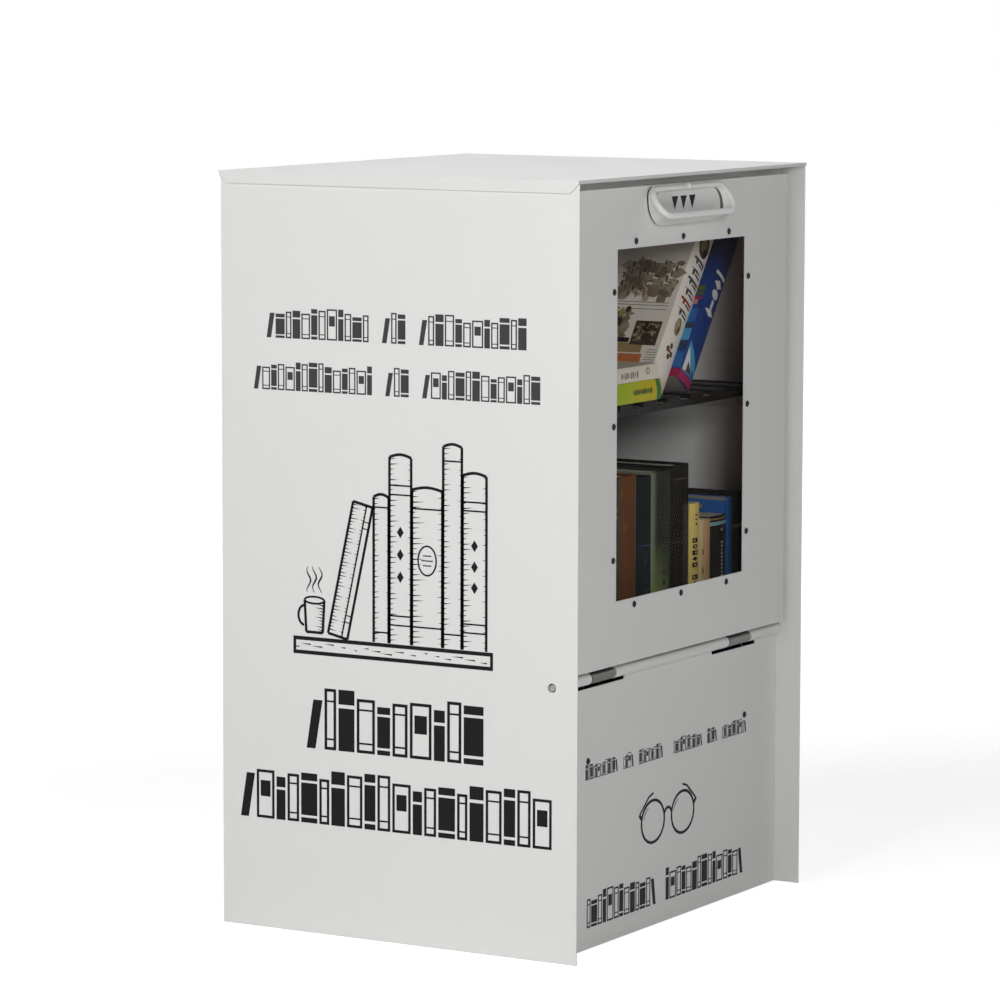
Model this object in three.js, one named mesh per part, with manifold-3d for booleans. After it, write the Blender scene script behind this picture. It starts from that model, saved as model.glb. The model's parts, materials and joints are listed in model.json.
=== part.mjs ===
// Street book exchange box: a sheet-steel cabinet whose window door is hinged at its foot and sprung shut.
// Millimetres. X to the right, the front faces -Y, Z up. The origin is the centre of the base on the ground.
import * as THREE from "three";
import Module from "manifold-3d";
import { mergeVertices } from "three/addons/utils/BufferGeometryUtils.js";

// Cabinet shell
const CABINET_WIDTH = 498;
const CABINET_DEPTH = 428;
const CABINET_HEIGHT = 791;
const SHEET = 1.5;
const SEAT_GAP = 0.3;
const FIN_REACH = 30;
const PANEL_FLANGE = 15;
const WALL_FLANGE = 20;
const OVERRUN = 4;

// Top panel
const TOP_FLANGE = 13;
const TOP_MITRE = 10;
const HEM_DEPTH = 10;
const HEM_HEIGHT = 3.5;

// Levels, from the top down
const UPPER_COMPARTMENT = 241;
const SHELF_HEIGHT = 12;
const LOWER_COMPARTMENT = 281;
const SILL_HEIGHT = 24;

// Base plate and floor pan
const BASE_THICKNESS = 3;
const BASE_FLANGE = 25;
const ANCHOR_RADIUS = 6.5;
const ANCHOR_SPREAD_X = 150;
const ANCHOR_SPREAD_Y = 120;
const FLOOR_FLANGE = 70;
const LEG_HOLE_RADIUS = 1.5;

// Door frame of the cabinet
const JAMB_WIDTH = 26;
const JAMB_RETURN = 15;
const JAMB_FOOT_GAP = 1.4;
const HEADER_HEIGHT = 41;
const BUMPER_RADIUS = 4;
const BUMPER_DROP = 60;

// Hinge
const AXIS_LEAD = 0.5;
const ROD_RADIUS = 4;
const ROD_CLEARANCE = 0.6;
const ROD_HOLE_CLEARANCE = 0.75;
const ROD_RECESS = 0.8;
const OUTER_KNUCKLE = 49.7;
const DOOR_OUTER_KNUCKLE = 20.2;
const SPRING_BAY = 52.5;
const DOOR_INNER_KNUCKLE = 27.2;
const NOTCH_DEPTH = 10.5;
const KNUCKLE_RELIEF = 0.5;
const LEAF_INSET = 0.2;

// Torsion springs
const WIRE_RADIUS = 0.7;
const SPRING_RADIUS = 5.4;
const SPRING_PITCH = 2;
const SPRING_END_GAP = 1.3;
const FIXED_LEG_OVERHANG = 6;
const MOVING_LEG_REACH = 15;

// Door
const DOOR_SIDE_GAP = 10.5;
const DOOR_TOP_GAP = 12;
const DOOR_HINGE_GAP = 3.9;
const DOOR_LEAD = 13.6;
const DOOR_SHUT_GAP = 3;
const WINDOW_SIDE_MARGIN = 96.5;
const WINDOW_TOP_MARGIN = 62.4;
const WINDOW_FOOT_MARGIN = 65.8;
const PANE_THICKNESS = 3;
const PANE_LAP = 14;

// Rivets
const RIVET_INSET = 6.8;
const RIVET_PITCH_X = 102;
const RIVET_PITCH_Z = 137;
const RIVET_HEAD_RADIUS = 3.5;
const RIVET_HEAD_HEIGHT = 1.6;
const RIVET_SHANK_RADIUS = 1.6;
const RIVET_CLEARANCE = 0.4;
const RIVET_TAIL_RADIUS = 3;
const RIVET_TAIL_HEIGHT = 1.4;
const PANEL_RIVET_INSET = 74;
const PANEL_RIVET_DROP = 61.5;

// Pull handle
const HANDLE_WIDTH = 160;
const HANDLE_HEIGHT = 41;
const HANDLE_TOP_GAP = 1;
const HANDLE_FOOT_ROUND = 28;
const HANDLE_HEAD_ROUND = 10;
const HANDLE_PLATE = 3.5;
const HANDLE_WALL = 6;
const RIM_RADIUS = 3.4;
const RIM_FLARE = 1;
const RIM_HEAD_DROP = 3.5;
const RIM_FOOT_RISE = 10.5;
const RIM_HEAD_REACH = 3.6;
const RIM_FOOT_REACH = 20.5;
const RIM_START = THREE.MathUtils.degToRad(-10);
const RIM_TURN = THREE.MathUtils.degToRad(200);
const rimFootRoundShare = 0.56;
const rimHeadRoundShare = 0.42;
const SCREW_INSET = 20;
const SCREW_RADIUS = 1.5;
const SCREW_HEAD_RADIUS = 3.5;
const SCREW_HEAD_HEIGHT = 2.4;
const SCREW_BITE = 2.6;

// Shelf
const SHELF_SETBACK = 54;
const SHELF_BACK_GAP = 5;
const SHELF_SIDE_GAP = 1.2;
const SLAT_THICKNESS = 5;
const SLAT_SEAT = 0.5;
const SLAT_WIDTH = 30;
const SLAT_PITCH = 52;
const RAIL_THICKNESS = 4;
const BRACKET_LEG = 16;

// Books
const BOOK_HEADROOM = 63;
const BOOK_DEPTH = 150;
const BOOK_GAP = 0.4;
const BOARD = 2.4;
const BOARD_LIP = 3;
const PAPER_COVER = 0.6;
const BOOK_SETBACK = 57;
const ROW_SLACK = 44.8;
const FLAT_BOOK_SETBACK = 52;
const FLAT_STACK_GAP = 8.4;
const FLAT_STACK_STEP = 8;
const LEAN_HEADROOM = 64.6;
const LEAN_SETBACK = 60;
const LEAN_STAGGER = 9;
const LEAN_ANGLE = THREE.MathUtils.degToRad(36);
const spineRoundShare = 0.08;

// The row from the right wall: name, shares of a book's thickness, height and depth, kind of cover
const standingBookShares = [
  ["book_maroon", 0.64, 0.79, 0.85, "hard"],
  ["book_charcoal", 0.69, 0.79, 0.85, "hard"],
  ["book_blue", 0.23, 0.79, 0.9, "hard"],
  ["book_black_small", 1, 0.71, 0.75, "paper"],
  ["book_tan", 0.29, 0.705, 0.75, "paper"],
  ["book_cream", 0.28, 0.71, 0.75, "paper"],
  ["book_yellow", 0.54, 0.797, 0.75, "paper"],
  ["book_black_tall", 1.01, 1, 1, "hard"],
  ["book_green", 1.09, 0.985, 1, "hard"],
  ["book_navy", 0.8, 0.975, 1, "hard"],
  ["book_brown", 0.96, 0.995, 1, "hard"],
  ["book_olive", 0.9, 0.93, 0.95, "hard"],
  ["book_grey", 0.7, 0.85, 0.9, "paper"],
  ["book_red", 1.1, 0.97, 1, "hard"],
  ["book_teal", 0.85, 0.9, 0.95, "hard"],
];
// The flat stack from the bottom up, whose lengths are shares of the room beside it
const flatBookShares = [
  ["book_lime_flat", 0.545, 0.748, 1, "paper"],
  ["book_white_flat", 0.4, 0.707, 0.95, "paper"],
];
// The leaning books from the wall inwards
const leaningBookShares = [
  ["book_blue_leaning", 0.83, 1.15, 0.9, "paper"],
  ["book_white_leaning", 0.88, 1.1, 1, "paper"],
];

// Counts
const ROUND_SIDES = 24;
const RIVET_SIDES = 12;
const WIRE_SIDES = 5;
const CURL_STEPS = 8;
const BEND_STEPS = 4;
const CORNER_STEPS = 5;
const RIM_STEPS = 6;
const SPINE_STEPS = 6;

// The finest length that the solids resolve
const MERGE_DISTANCE = 0.001;

// Places worked out from the sizes
const halfWidth = CABINET_WIDTH / 2;
const wallInner = halfWidth - SHEET;
const fitHalf = wallInner - SEAT_GAP;
const nestHalf = fitHalf - SHEET - SEAT_GAP;
const frontEdge = -CABINET_DEPTH / 2;
const backEdge = CABINET_DEPTH / 2;
const shellBack = backEdge - SHEET - SEAT_GAP;
const backInner = shellBack - SHEET;
const panelFront = frontEdge + FIN_REACH;
const panelBack = panelFront + SHEET;
const underTop = CABINET_HEIGHT - SHEET - SEAT_GAP;
const shelfTop = CABINET_HEIGHT - UPPER_COMPARTMENT;
const shelfLow = shelfTop - SHELF_HEIGHT;
const floorTop = shelfLow - LOWER_COMPARTMENT;
const axisZ = floorTop + SILL_HEIGHT;
const axisY = panelFront - AXIS_LEAD;
const knuckleBore = ROD_RADIUS + ROD_CLEARANCE;
const knuckleRadius = knuckleBore + SHEET;
const notchLow = axisZ - NOTCH_DEPTH;
const jambInner = fitHalf - JAMB_WIDTH;
const doorHalf = wallInner - DOOR_SIDE_GAP;
const doorFront = panelFront - DOOR_LEAD;
const doorBack = doorFront + SHEET;
const doorLow = axisZ + knuckleRadius + DOOR_HINGE_GAP;
const doorTop = CABINET_HEIGHT - DOOR_TOP_GAP;
const flangeEnd = panelFront - DOOR_SHUT_GAP;
const windowHalf = doorHalf - WINDOW_SIDE_MARGIN;
const windowLow = doorLow + WINDOW_FOOT_MARGIN;
const windowTop = doorTop - WINDOW_TOP_MARGIN;
const windowMid = (windowLow + windowTop) / 2;
const paneFront = doorBack + SEAT_GAP;
const paneBack = paneFront + PANE_THICKNESS;

// Stretches of the hinge on the right half, which the left half mirrors
const outerKnuckle = [fitHalf - OUTER_KNUCKLE, fitHalf];
const doorOuterEnd = outerKnuckle[0] - SEAT_GAP;
const doorOuterKnuckle = [doorOuterEnd - DOOR_OUTER_KNUCKLE, doorOuterEnd];
const springBay = [doorOuterKnuckle[0] - SPRING_BAY, doorOuterKnuckle[0]];
const doorInnerKnuckle = [springBay[0] - DOOR_INNER_KNUCKLE, springBay[0]];
const middleKnuckleEnd = doorInnerKnuckle[0] - SEAT_GAP;
const fixedLegX = springBay[1] - SPRING_END_GAP - WIRE_RADIUS;

// Handle places
const handleTop = doorTop - HANDLE_TOP_GAP;
const handleLow = handleTop - HANDLE_HEIGHT;
const handleBack = doorFront - SEAT_GAP;
const screwX = HANDLE_WIDTH / 2 - SCREW_INSET;
const screwZ = (handleTop + handleLow) / 2;
const panelRivetX = fitHalf - PANEL_RIVET_INSET;
const panelRivetZ = floorTop - PANEL_RIVET_DROP;

// Sizes of a book whose shares are 1: the row fills the width, and each kind its compartment's height
const rowShares = standingBookShares.reduce((sum, [, thicknessShare]) => sum + thicknessShare, 0);
const rowGaps = (standingBookShares.length + 1) * BOOK_GAP;
const bookThickness = (2 * fitHalf - rowGaps - ROW_SLACK) / rowShares;
const bookHeight = LOWER_COMPARTMENT - BOOK_HEADROOM;
const leaningHeight = (UPPER_COMPARTMENT - LEAN_HEADROOM) / Math.cos(LEAN_ANGLE);

// Materials
const paint = new THREE.MeshStandardMaterial({ color: 0xe2e2e0, roughness: 0.35, metalness: 0 });
const innerPaint = new THREE.MeshStandardMaterial({ color: 0xd2d1cd, roughness: 0.5, metalness: 0 });
const blackSteel = new THREE.MeshStandardMaterial({ color: 0x17181a, roughness: 0.4, metalness: 0.2 });
const zincSteel = new THREE.MeshStandardMaterial({ color: 0x8b8d8c, roughness: 0.4, metalness: 0.9 });
const springSteel = new THREE.MeshStandardMaterial({ color: 0x5a5b5a, roughness: 0.45, metalness: 0.8 });
const clearSheet = new THREE.MeshStandardMaterial({
  color: 0xe8edf0, roughness: 0.08, metalness: 0, transparent: true, opacity: 0.25,
});
const whitePlastic = new THREE.MeshStandardMaterial({ color: 0xdedede, roughness: 0.35, metalness: 0 });
const rubber = new THREE.MeshStandardMaterial({ color: 0x202020, roughness: 0.9, metalness: 0 });
const bookCover = new THREE.MeshStandardMaterial({ color: 0x6a6f66, roughness: 0.6, metalness: 0 });

// Solids
const wasm = await Module();
wasm.setup();

// A closed geometry as a solid, with its vertices on a fine grid and merged, and its faces turned outwards.
function solidOf(geometry) {
  const onGrid = Array.from(
    geometry.getAttribute("position").array, (value) => Math.round(value / MERGE_DISTANCE) * MERGE_DISTANCE,
  );
  const bare = new THREE.BufferGeometry();
  bare.setAttribute("position", new THREE.Float32BufferAttribute(onGrid, 3));
  if (geometry.index) bare.setIndex(geometry.index);
  const merged = mergeVertices(bare, MERGE_DISTANCE);
  const position = merged.getAttribute("position");
  const corners = [0, 1, 2].map(() => new THREE.Vector3());
  const faces = [];
  let volume = 0;
  for (let i = 0; i < merged.index.count; i += 3) {
    const face = [0, 1, 2].map((k) => merged.index.getX(i + k));
    if (new Set(face).size < 3) continue;
    corners.forEach((corner, k) => corner.fromBufferAttribute(position, face[k]));
    volume += corners[0].dot(corners[1].clone().cross(corners[2]));
    faces.push(face);
  }
  const turned = volume < 0 ? faces.map(([a, b, c]) => [a, c, b]) : faces;
  return new wasm.Manifold(new wasm.Mesh({
    numProp: 3,
    vertProperties: new Float32Array(position.array),
    triVerts: new Uint32Array(turned.flat()),
  }));
}

function geometryOf(solid) {
  const { vertProperties, triVerts } = solid.getMesh();
  const geometry = new THREE.BufferGeometry();
  geometry.setAttribute("position", new THREE.BufferAttribute(vertProperties, 3));
  geometry.setIndex(new THREE.BufferAttribute(triVerts, 1));
  geometry.computeVertexNormals();
  return geometry;
}

const join = (...solids) => solids.reduce((whole, next) => whole.add(next));
const cut = (solid, ...tools) => tools.reduce((whole, tool) => whole.subtract(tool), solid);

// A stretch [near, far] of the right half, on the side that side names: 1 is right, -1 is left.
const across = (side, [near, far]) => (side > 0 ? [near, far] : [-far, -near]);
const both = (half) => [-half, half];
const SIDES = [["left", -1], ["right", 1]];

function block([x0, x1], [y0, y1], [z0, z1]) {
  const box = new THREE.BoxGeometry(x1 - x0, y1 - y0, z1 - z0);
  box.translate((x0 + x1) / 2, (y0 + y1) / 2, (z0 + z1) / 2);
  return solidOf(box);
}

function cylinderX(radius, [x0, x1], y, z) {
  const round = new THREE.CylinderGeometry(radius, radius, x1 - x0, ROUND_SIDES);
  round.rotateZ(Math.PI / 2);
  round.translate((x0 + x1) / 2, y, z);
  return solidOf(round);
}

function cylinderY(radius, [y0, y1], x, z, sides = RIVET_SIDES) {
  const round = new THREE.CylinderGeometry(radius, radius, y1 - y0, sides);
  round.translate(x, (y0 + y1) / 2, z);
  return solidOf(round);
}

function cylinderZ(radius, [z0, z1], x, y, sides = RIVET_SIDES) {
  const round = new THREE.CylinderGeometry(radius, radius, z1 - z0, sides);
  round.rotateX(Math.PI / 2);
  round.translate(x, y, (z0 + z1) / 2);
  return solidOf(round);
}

// An outline of [y, z] points as a plate square to X.
function plateX(outline, [x0, x1]) {
  const plate = new THREE.ExtrudeGeometry(
    new THREE.Shape(outline.map(([y, z]) => new THREE.Vector2(y, z))),
    { depth: x1 - x0, bevelEnabled: false },
  );
  plate.rotateX(Math.PI / 2);
  plate.rotateZ(Math.PI / 2);
  plate.translate(x0, 0, 0);
  return solidOf(plate);
}

// An outline of [x, z] points as a plate square to Y.
function plateY(outline, [y0, y1]) {
  const plate = new THREE.ExtrudeGeometry(
    new THREE.Shape(outline.map(([x, z]) => new THREE.Vector2(x, z))),
    { depth: y1 - y0, bevelEnabled: false },
  );
  plate.rotateX(Math.PI / 2);
  plate.translate(0, y1, 0);
  return solidOf(plate);
}

// A turned piece about an axis along Y, from profile points [radius, y] that start and end on the axis.
function turned(profile, sides = RIVET_SIDES) {
  return solidOf(new THREE.LatheGeometry(profile.map(([radius, y]) => new THREE.Vector2(radius, y)), sides));
}

// A solid skinned over rings of equally many points and capped at its ends.
function skinned(rings) {
  const count = rings[0].length;
  const points = rings.flat();
  const last = points.length - count;
  const faces = [];
  for (let here = 0; here < last; here += count) {
    for (let k = 0; k < count; k += 1) {
      const k1 = (k + 1) % count;
      const next = here + count;
      faces.push(here + k, here + k1, next + k1, here + k, next + k1, next + k);
    }
  }
  for (let k = 1; k < count - 1; k += 1) {
    faces.push(0, k + 1, k, last, last + k, last + k + 1);
  }
  const geometry = new THREE.BufferGeometry().setFromPoints(points);
  geometry.setIndex(faces);
  return solidOf(geometry);
}

// Rings of a round tube along a path whose turns all lie close to the plane square to X.
function tubeRings(path, radius, sides) {
  const reference = new THREE.Vector3(1, 0, 0);
  return path.map((point, i) => {
    const before = path[Math.max(i - 1, 0)];
    const after = path[Math.min(i + 1, path.length - 1)];
    const along = after.clone().sub(before).normalize();
    const first = reference.clone().addScaledVector(along, -reference.dot(along)).normalize();
    const second = along.clone().cross(first);
    return Array.from({ length: sides }, (_, k) => {
      const turn = (2 * Math.PI * k) / sides;
      return point.clone()
        .addScaledVector(first, radius * Math.cos(turn))
        .addScaledVector(second, radius * Math.sin(turn));
    });
  });
}

function node(name, solid, material) {
  const mesh = new THREE.Mesh(geometryOf(solid), material);
  mesh.name = name;
  return mesh;
}

// Cabinet shell
function sidePanel(side) {
  const sheet = block(across(side, [wallInner, halfWidth]), [frontEdge, shellBack], [0, underTop]);
  const holeRun = across(side, [wallInner - OVERRUN, halfWidth + OVERRUN]);
  return cut(sheet, cylinderX(ROD_RADIUS + ROD_HOLE_CLEARANCE, holeRun, axisY, axisZ));
}

// A corner cutter for a flange's mitre: a triangle in the plane square to X or Y, drawn from a corner point.
function mitreTool(plate, corner, toward, run) {
  const low = CABINET_HEIGHT - TOP_FLANGE;
  return plate([
    [corner - toward * OVERRUN, low - OVERRUN],
    [corner + toward * (TOP_MITRE + OVERRUN), low - OVERRUN],
    [corner - toward * OVERRUN, low + TOP_MITRE + OVERRUN],
  ], run);
}

// The top sheet folds down at both sides and the back, and into a hem at the front between the fins.
function topPanel() {
  const outer = halfWidth + SEAT_GAP + SHEET;
  const inner = outer - SHEET;
  const low = CABINET_HEIGHT - TOP_FLANGE;
  const underSheet = CABINET_HEIGHT - SHEET;
  const hemBack = frontEdge + HEM_DEPTH;
  const front = [frontEdge - OVERRUN, hemBack + OVERRUN];
  const blank = block(both(outer), [frontEdge, backEdge], [low, CABINET_HEIGHT]);
  const hollow = block(both(inner), [hemBack, backEdge - SHEET], [low - OVERRUN, underSheet]);
  const underHem = block(both(inner), front, [low - OVERRUN, CABINET_HEIGHT - HEM_HEIGHT]);
  const hemEnds = SIDES.map(([, side]) => block(
    across(side, [fitHalf, inner]), front, [low - OVERRUN, underSheet],
  ));
  const sideMitres = SIDES.flatMap(([, side]) => [[frontEdge, 1], [backEdge, -1]].map(
    ([corner, toward]) => mitreTool(plateX, corner, toward, across(side, [inner, outer + OVERRUN])),
  ));
  const backMitres = SIDES.map(([, side]) => mitreTool(
    plateY, side * outer, -side, [backEdge - SHEET, backEdge + OVERRUN],
  ));
  return cut(blank, hollow, underHem, ...hemEnds, ...sideMitres, ...backMitres);
}

function backPanel() {
  const blank = block(both(fitHalf), [shellBack - WALL_FLANGE, shellBack], [0, underTop]);
  const hollow = block(
    both(fitHalf - SHEET), [shellBack - WALL_FLANGE - OVERRUN, backInner], [-OVERRUN, underTop + OVERRUN],
  );
  return cut(blank, hollow);
}

function basePlate() {
  const back = backInner - SEAT_GAP;
  const front = panelBack + SEAT_GAP;
  const blank = block(both(nestHalf), [front, back], [0, BASE_FLANGE]);
  const hollow = block(
    both(nestHalf - BASE_THICKNESS), [front + BASE_THICKNESS, back - BASE_THICKNESS],
    [BASE_THICKNESS, BASE_FLANGE + OVERRUN],
  );
  const holes = [-ANCHOR_SPREAD_X, ANCHOR_SPREAD_X].flatMap((x) => [-ANCHOR_SPREAD_Y, ANCHOR_SPREAD_Y].map(
    (y) => cylinderZ(ANCHOR_RADIUS, [-OVERRUN, BASE_THICKNESS + OVERRUN], x, y, ROUND_SIDES),
  ));
  return cut(blank, hollow, ...holes);
}

// The floor of the lower compartment, with a deep front flange riveted to the lower front panel.
function floorPan() {
  const front = panelBack + SEAT_GAP;
  const back = backInner - SEAT_GAP;
  const low = floorTop - FLOOR_FLANGE;
  const blank = block(both(nestHalf), [front, back], [low, floorTop]);
  const hollow = block(
    both(nestHalf - SHEET), [front + SHEET, back - SHEET], [low - OVERRUN, floorTop - SHEET],
  );
  const trim = block(
    both(nestHalf + OVERRUN), [front + SHEET, back + OVERRUN], [low - OVERRUN, floorTop - WALL_FLANGE],
  );
  const legHoles = SIDES.map(([, side]) => cylinderZ(
    LEG_HOLE_RADIUS,
    [floorTop - SHEET - OVERRUN, floorTop + OVERRUN],
    side * fixedLegX,
    axisY + SPRING_RADIUS,
  ));
  const rivetHoles = SIDES.map(([, side]) => cylinderY(
    RIVET_SHANK_RADIUS + RIVET_CLEARANCE,
    [front - OVERRUN, front + OVERRUN],
    side * panelRivetX,
    panelRivetZ,
  ));
  return cut(blank, hollow, trim, ...legHoles, ...rivetHoles);
}

// The lower front panel ends above in three knuckles that the hinge rod runs through.
function lowerFrontPanel() {
  const tabTop = axisZ - knuckleRadius + SHEET / 2;
  const blank = block(both(fitHalf), [panelFront, panelFront + PANEL_FLANGE], [0, tabTop]);
  const hollow = block(
    both(fitHalf - SHEET), [panelBack, panelFront + PANEL_FLANGE + OVERRUN], [-OVERRUN, tabTop + OVERRUN],
  );
  const notches = SIDES.map(([, side]) => block(
    across(side, [middleKnuckleEnd - KNUCKLE_RELIEF, outerKnuckle[0] + KNUCKLE_RELIEF]),
    [panelFront - OVERRUN, panelBack + OVERRUN],
    [notchLow, tabTop + OVERRUN],
  ));
  const flangeTops = SIDES.map(([, side]) => block(
    across(side, [fitHalf - SHEET - OVERRUN, fitHalf + OVERRUN]),
    [panelBack, panelFront + PANEL_FLANGE + OVERRUN],
    [notchLow, tabTop + OVERRUN],
  ));
  const outerTube = [outerKnuckle[0], outerKnuckle[1] - KNUCKLE_RELIEF];
  const tubes = [across(-1, outerTube), both(middleKnuckleEnd), across(1, outerTube)].map(
    (run) => cylinderX(knuckleRadius, run, axisY, axisZ),
  );
  const bore = cylinderX(knuckleBore, both(fitHalf + OVERRUN), axisY, axisZ);
  const rivetHoles = SIDES.map(([, side]) => cylinderY(
    RIVET_SHANK_RADIUS + RIVET_CLEARANCE,
    [panelFront - OVERRUN, panelBack + OVERRUN],
    side * panelRivetX,
    panelRivetZ,
  ));
  return cut(join(cut(blank, hollow, ...notches, ...flangeTops), ...tubes), bore, ...rivetHoles);
}

// Door frame of the cabinet
function headerRail() {
  const half = jambInner - SEAT_GAP;
  const low = underTop - HEADER_HEIGHT;
  const blank = block(both(half), [panelFront, panelFront + JAMB_RETURN], [low, underTop]);
  const hollow = block(
    both(half + OVERRUN), [panelBack, panelFront + JAMB_RETURN + OVERRUN], [low + SHEET, underTop - SHEET],
  );
  return cut(blank, hollow);
}

function jamb(side) {
  const low = axisZ + knuckleRadius + JAMB_FOOT_GAP;
  const blank = block(
    across(side, [jambInner, fitHalf]), [panelFront, panelFront + JAMB_RETURN], [low, underTop],
  );
  const hollow = block(
    across(side, [jambInner + SHEET, fitHalf - SHEET]),
    [panelBack, panelFront + JAMB_RETURN + OVERRUN],
    [low - OVERRUN, underTop + OVERRUN],
  );
  return cut(blank, hollow);
}

// A rubber button on the jamb, which the door's flange closes against.
function bumper(side) {
  const back = panelFront - SEAT_GAP;
  const front = flangeEnd + SEAT_GAP;
  const crown = (back - front) / 2;
  const profile = [
    [0, back],
    [BUMPER_RADIUS, back],
    [BUMPER_RADIUS, back - crown],
    [BUMPER_RADIUS / 2, front],
    [0, front],
  ];
  const mesh = node(`door_bumper_${side > 0 ? "right" : "left"}`, turned(profile), rubber);
  mesh.position.set(side * (doorHalf - SHEET / 2), 0, doorTop - BUMPER_DROP);
  return mesh;
}

// Hinge rod and torsion springs
function hingeRod() {
  return cylinderX(ROD_RADIUS, both(halfWidth - ROD_RECESS), axisY, axisZ);
}

// From the floor pan up to the coil, round the rod, and forward under the door's foot flange.
function springPath(side) {
  const start = side * fixedLegX;
  const room = fixedLegX - springBay[0] - SPRING_END_GAP - WIRE_RADIUS;
  const turns = Math.floor(room / SPRING_PITCH);
  const end = start - side * turns * SPRING_PITCH;
  const rear = axisY + SPRING_RADIUS;
  const overZ = doorLow - SEAT_GAP - WIRE_RADIUS;
  const bend = overZ - axisZ - SPRING_RADIUS;
  const path = [
    new THREE.Vector3(start, rear, floorTop - SHEET - FIXED_LEG_OVERHANG),
    new THREE.Vector3(start, rear, axisZ - SPRING_RADIUS),
  ];
  for (let i = 0; i <= turns * CURL_STEPS; i += 1) {
    const turn = (2 * Math.PI * i) / CURL_STEPS;
    const x = start - (side * SPRING_PITCH * i) / CURL_STEPS;
    path.push(new THREE.Vector3(
      x, axisY + SPRING_RADIUS * Math.cos(turn), axisZ + SPRING_RADIUS * Math.sin(turn),
    ));
  }
  for (let i = 0; i <= BEND_STEPS; i += 1) {
    const turn = ((Math.PI / 2) * i) / BEND_STEPS;
    path.push(new THREE.Vector3(
      end, rear - bend + bend * Math.cos(turn), overZ - bend + bend * Math.sin(turn),
    ));
  }
  path.push(new THREE.Vector3(end, rear - MOVING_LEG_REACH, overZ));
  return path;
}

// The least clear distance between stretches of the wire that lie more than half a curl apart.
function leastGap(path) {
  const near = CURL_STEPS / 2;
  const closest = new THREE.Vector3();
  let least = Infinity;
  for (let i = 0; i < path.length; i += 1) {
    for (let k = i + near; k < path.length - 1; k += 1) {
      new THREE.Line3(path[k], path[k + 1]).closestPointToPoint(path[i], true, closest);
      least = Math.min(least, closest.distanceTo(path[i]));
    }
  }
  return least - 2 * WIRE_RADIUS;
}

function torsionSpring(side) {
  const path = springPath(side);
  const hand = side > 0 ? "right" : "left";
  console.log(`torsion spring ${hand}: least gap to itself ${leastGap(path).toFixed(2)} mm`);
  return skinned(tubeRings(path, WIRE_RADIUS, WIRE_SIDES));
}

// Shelf: flat bars run from front to back over two rails, between two side bars.
function bookShelf() {
  const half = nestHalf - SHELF_SIDE_GAP;
  const front = frontEdge + SHELF_SETBACK;
  const back = backInner - SHELF_BACK_GAP;
  const slatLow = shelfTop - SLAT_THICKNESS;
  const railTop = slatLow - SLAT_SEAT;
  const blank = block(both(half), [front, back], [shelfLow, shelfTop]);
  const hollow = block(
    both(half - RAIL_THICKNESS),
    [front + RAIL_THICKNESS, back - RAIL_THICKNESS],
    [shelfLow - OVERRUN, slatLow],
  );
  const room = half - RAIL_THICKNESS - SLAT_WIDTH / 2;
  const pairs = Math.floor(room / SLAT_PITCH);
  const edges = [-(half - RAIL_THICKNESS)];
  for (let i = -pairs; i <= pairs; i += 1) {
    edges.push(i * SLAT_PITCH - SLAT_WIDTH / 2, i * SLAT_PITCH + SLAT_WIDTH / 2);
  }
  edges.push(half - RAIL_THICKNESS);
  const gaps = [];
  for (let i = 0; i < edges.length; i += 2) {
    const gap = [edges[i], edges[i + 1]];
    gaps.push(block(gap, [front - OVERRUN, back + OVERRUN], [railTop, shelfTop + OVERRUN]));
  }
  return cut(blank, hollow, ...gaps);
}

function shelfBracket(side) {
  const seat = shelfLow - SEAT_GAP;
  const run = [panelFront + JAMB_RETURN + SEAT_GAP, shellBack - WALL_FLANGE - SEAT_GAP];
  const blank = block(across(side, [fitHalf - BRACKET_LEG, fitHalf]), run, [seat - BRACKET_LEG, seat]);
  const hollow = block(
    across(side, [fitHalf - BRACKET_LEG - OVERRUN, fitHalf - SHEET]),
    [run[0] - OVERRUN, run[1] + OVERRUN],
    [seat - BRACKET_LEG - OVERRUN, seat - SHEET],
  );
  return cut(blank, hollow);
}

// Rivets and screws: turned about Y with the head's seat at y = 0 and the shank towards +Y.
function rivet(grip) {
  const tail = grip + 2 * SEAT_GAP;
  return turned([
    [0, -RIVET_HEAD_HEIGHT],
    [RIVET_HEAD_RADIUS / 2, -RIVET_HEAD_HEIGHT * (Math.sqrt(3) / 2)],
    [RIVET_HEAD_RADIUS, 0],
    [RIVET_SHANK_RADIUS, 0],
    [RIVET_SHANK_RADIUS, tail],
    [RIVET_TAIL_RADIUS, tail],
    [RIVET_SHANK_RADIUS, tail + RIVET_TAIL_HEIGHT],
    [0, tail + RIVET_TAIL_HEIGHT],
  ]);
}

function panelRivet(name, side) {
  const mesh = node(name, rivet(2 * SHEET + SEAT_GAP), blackSteel);
  mesh.position.set(side * panelRivetX, panelFront - SEAT_GAP, panelRivetZ);
  return mesh;
}

function handleScrew(name, side) {
  const tip = doorFront - SEAT_GAP - SCREW_BITE;
  const seat = doorBack + SEAT_GAP;
  const mesh = node(name, turned([
    [0, tip],
    [SCREW_RADIUS, tip],
    [SCREW_RADIUS, seat],
    [SCREW_HEAD_RADIUS, seat],
    [SCREW_HEAD_RADIUS, seat + SCREW_HEAD_HEIGHT / 2],
    [SCREW_HEAD_RADIUS / 2, seat + SCREW_HEAD_HEIGHT],
    [0, seat + SCREW_HEAD_HEIGHT],
  ]), zincSteel);
  mesh.position.set(side * screwX, 0, screwZ);
  return mesh;
}

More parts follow.
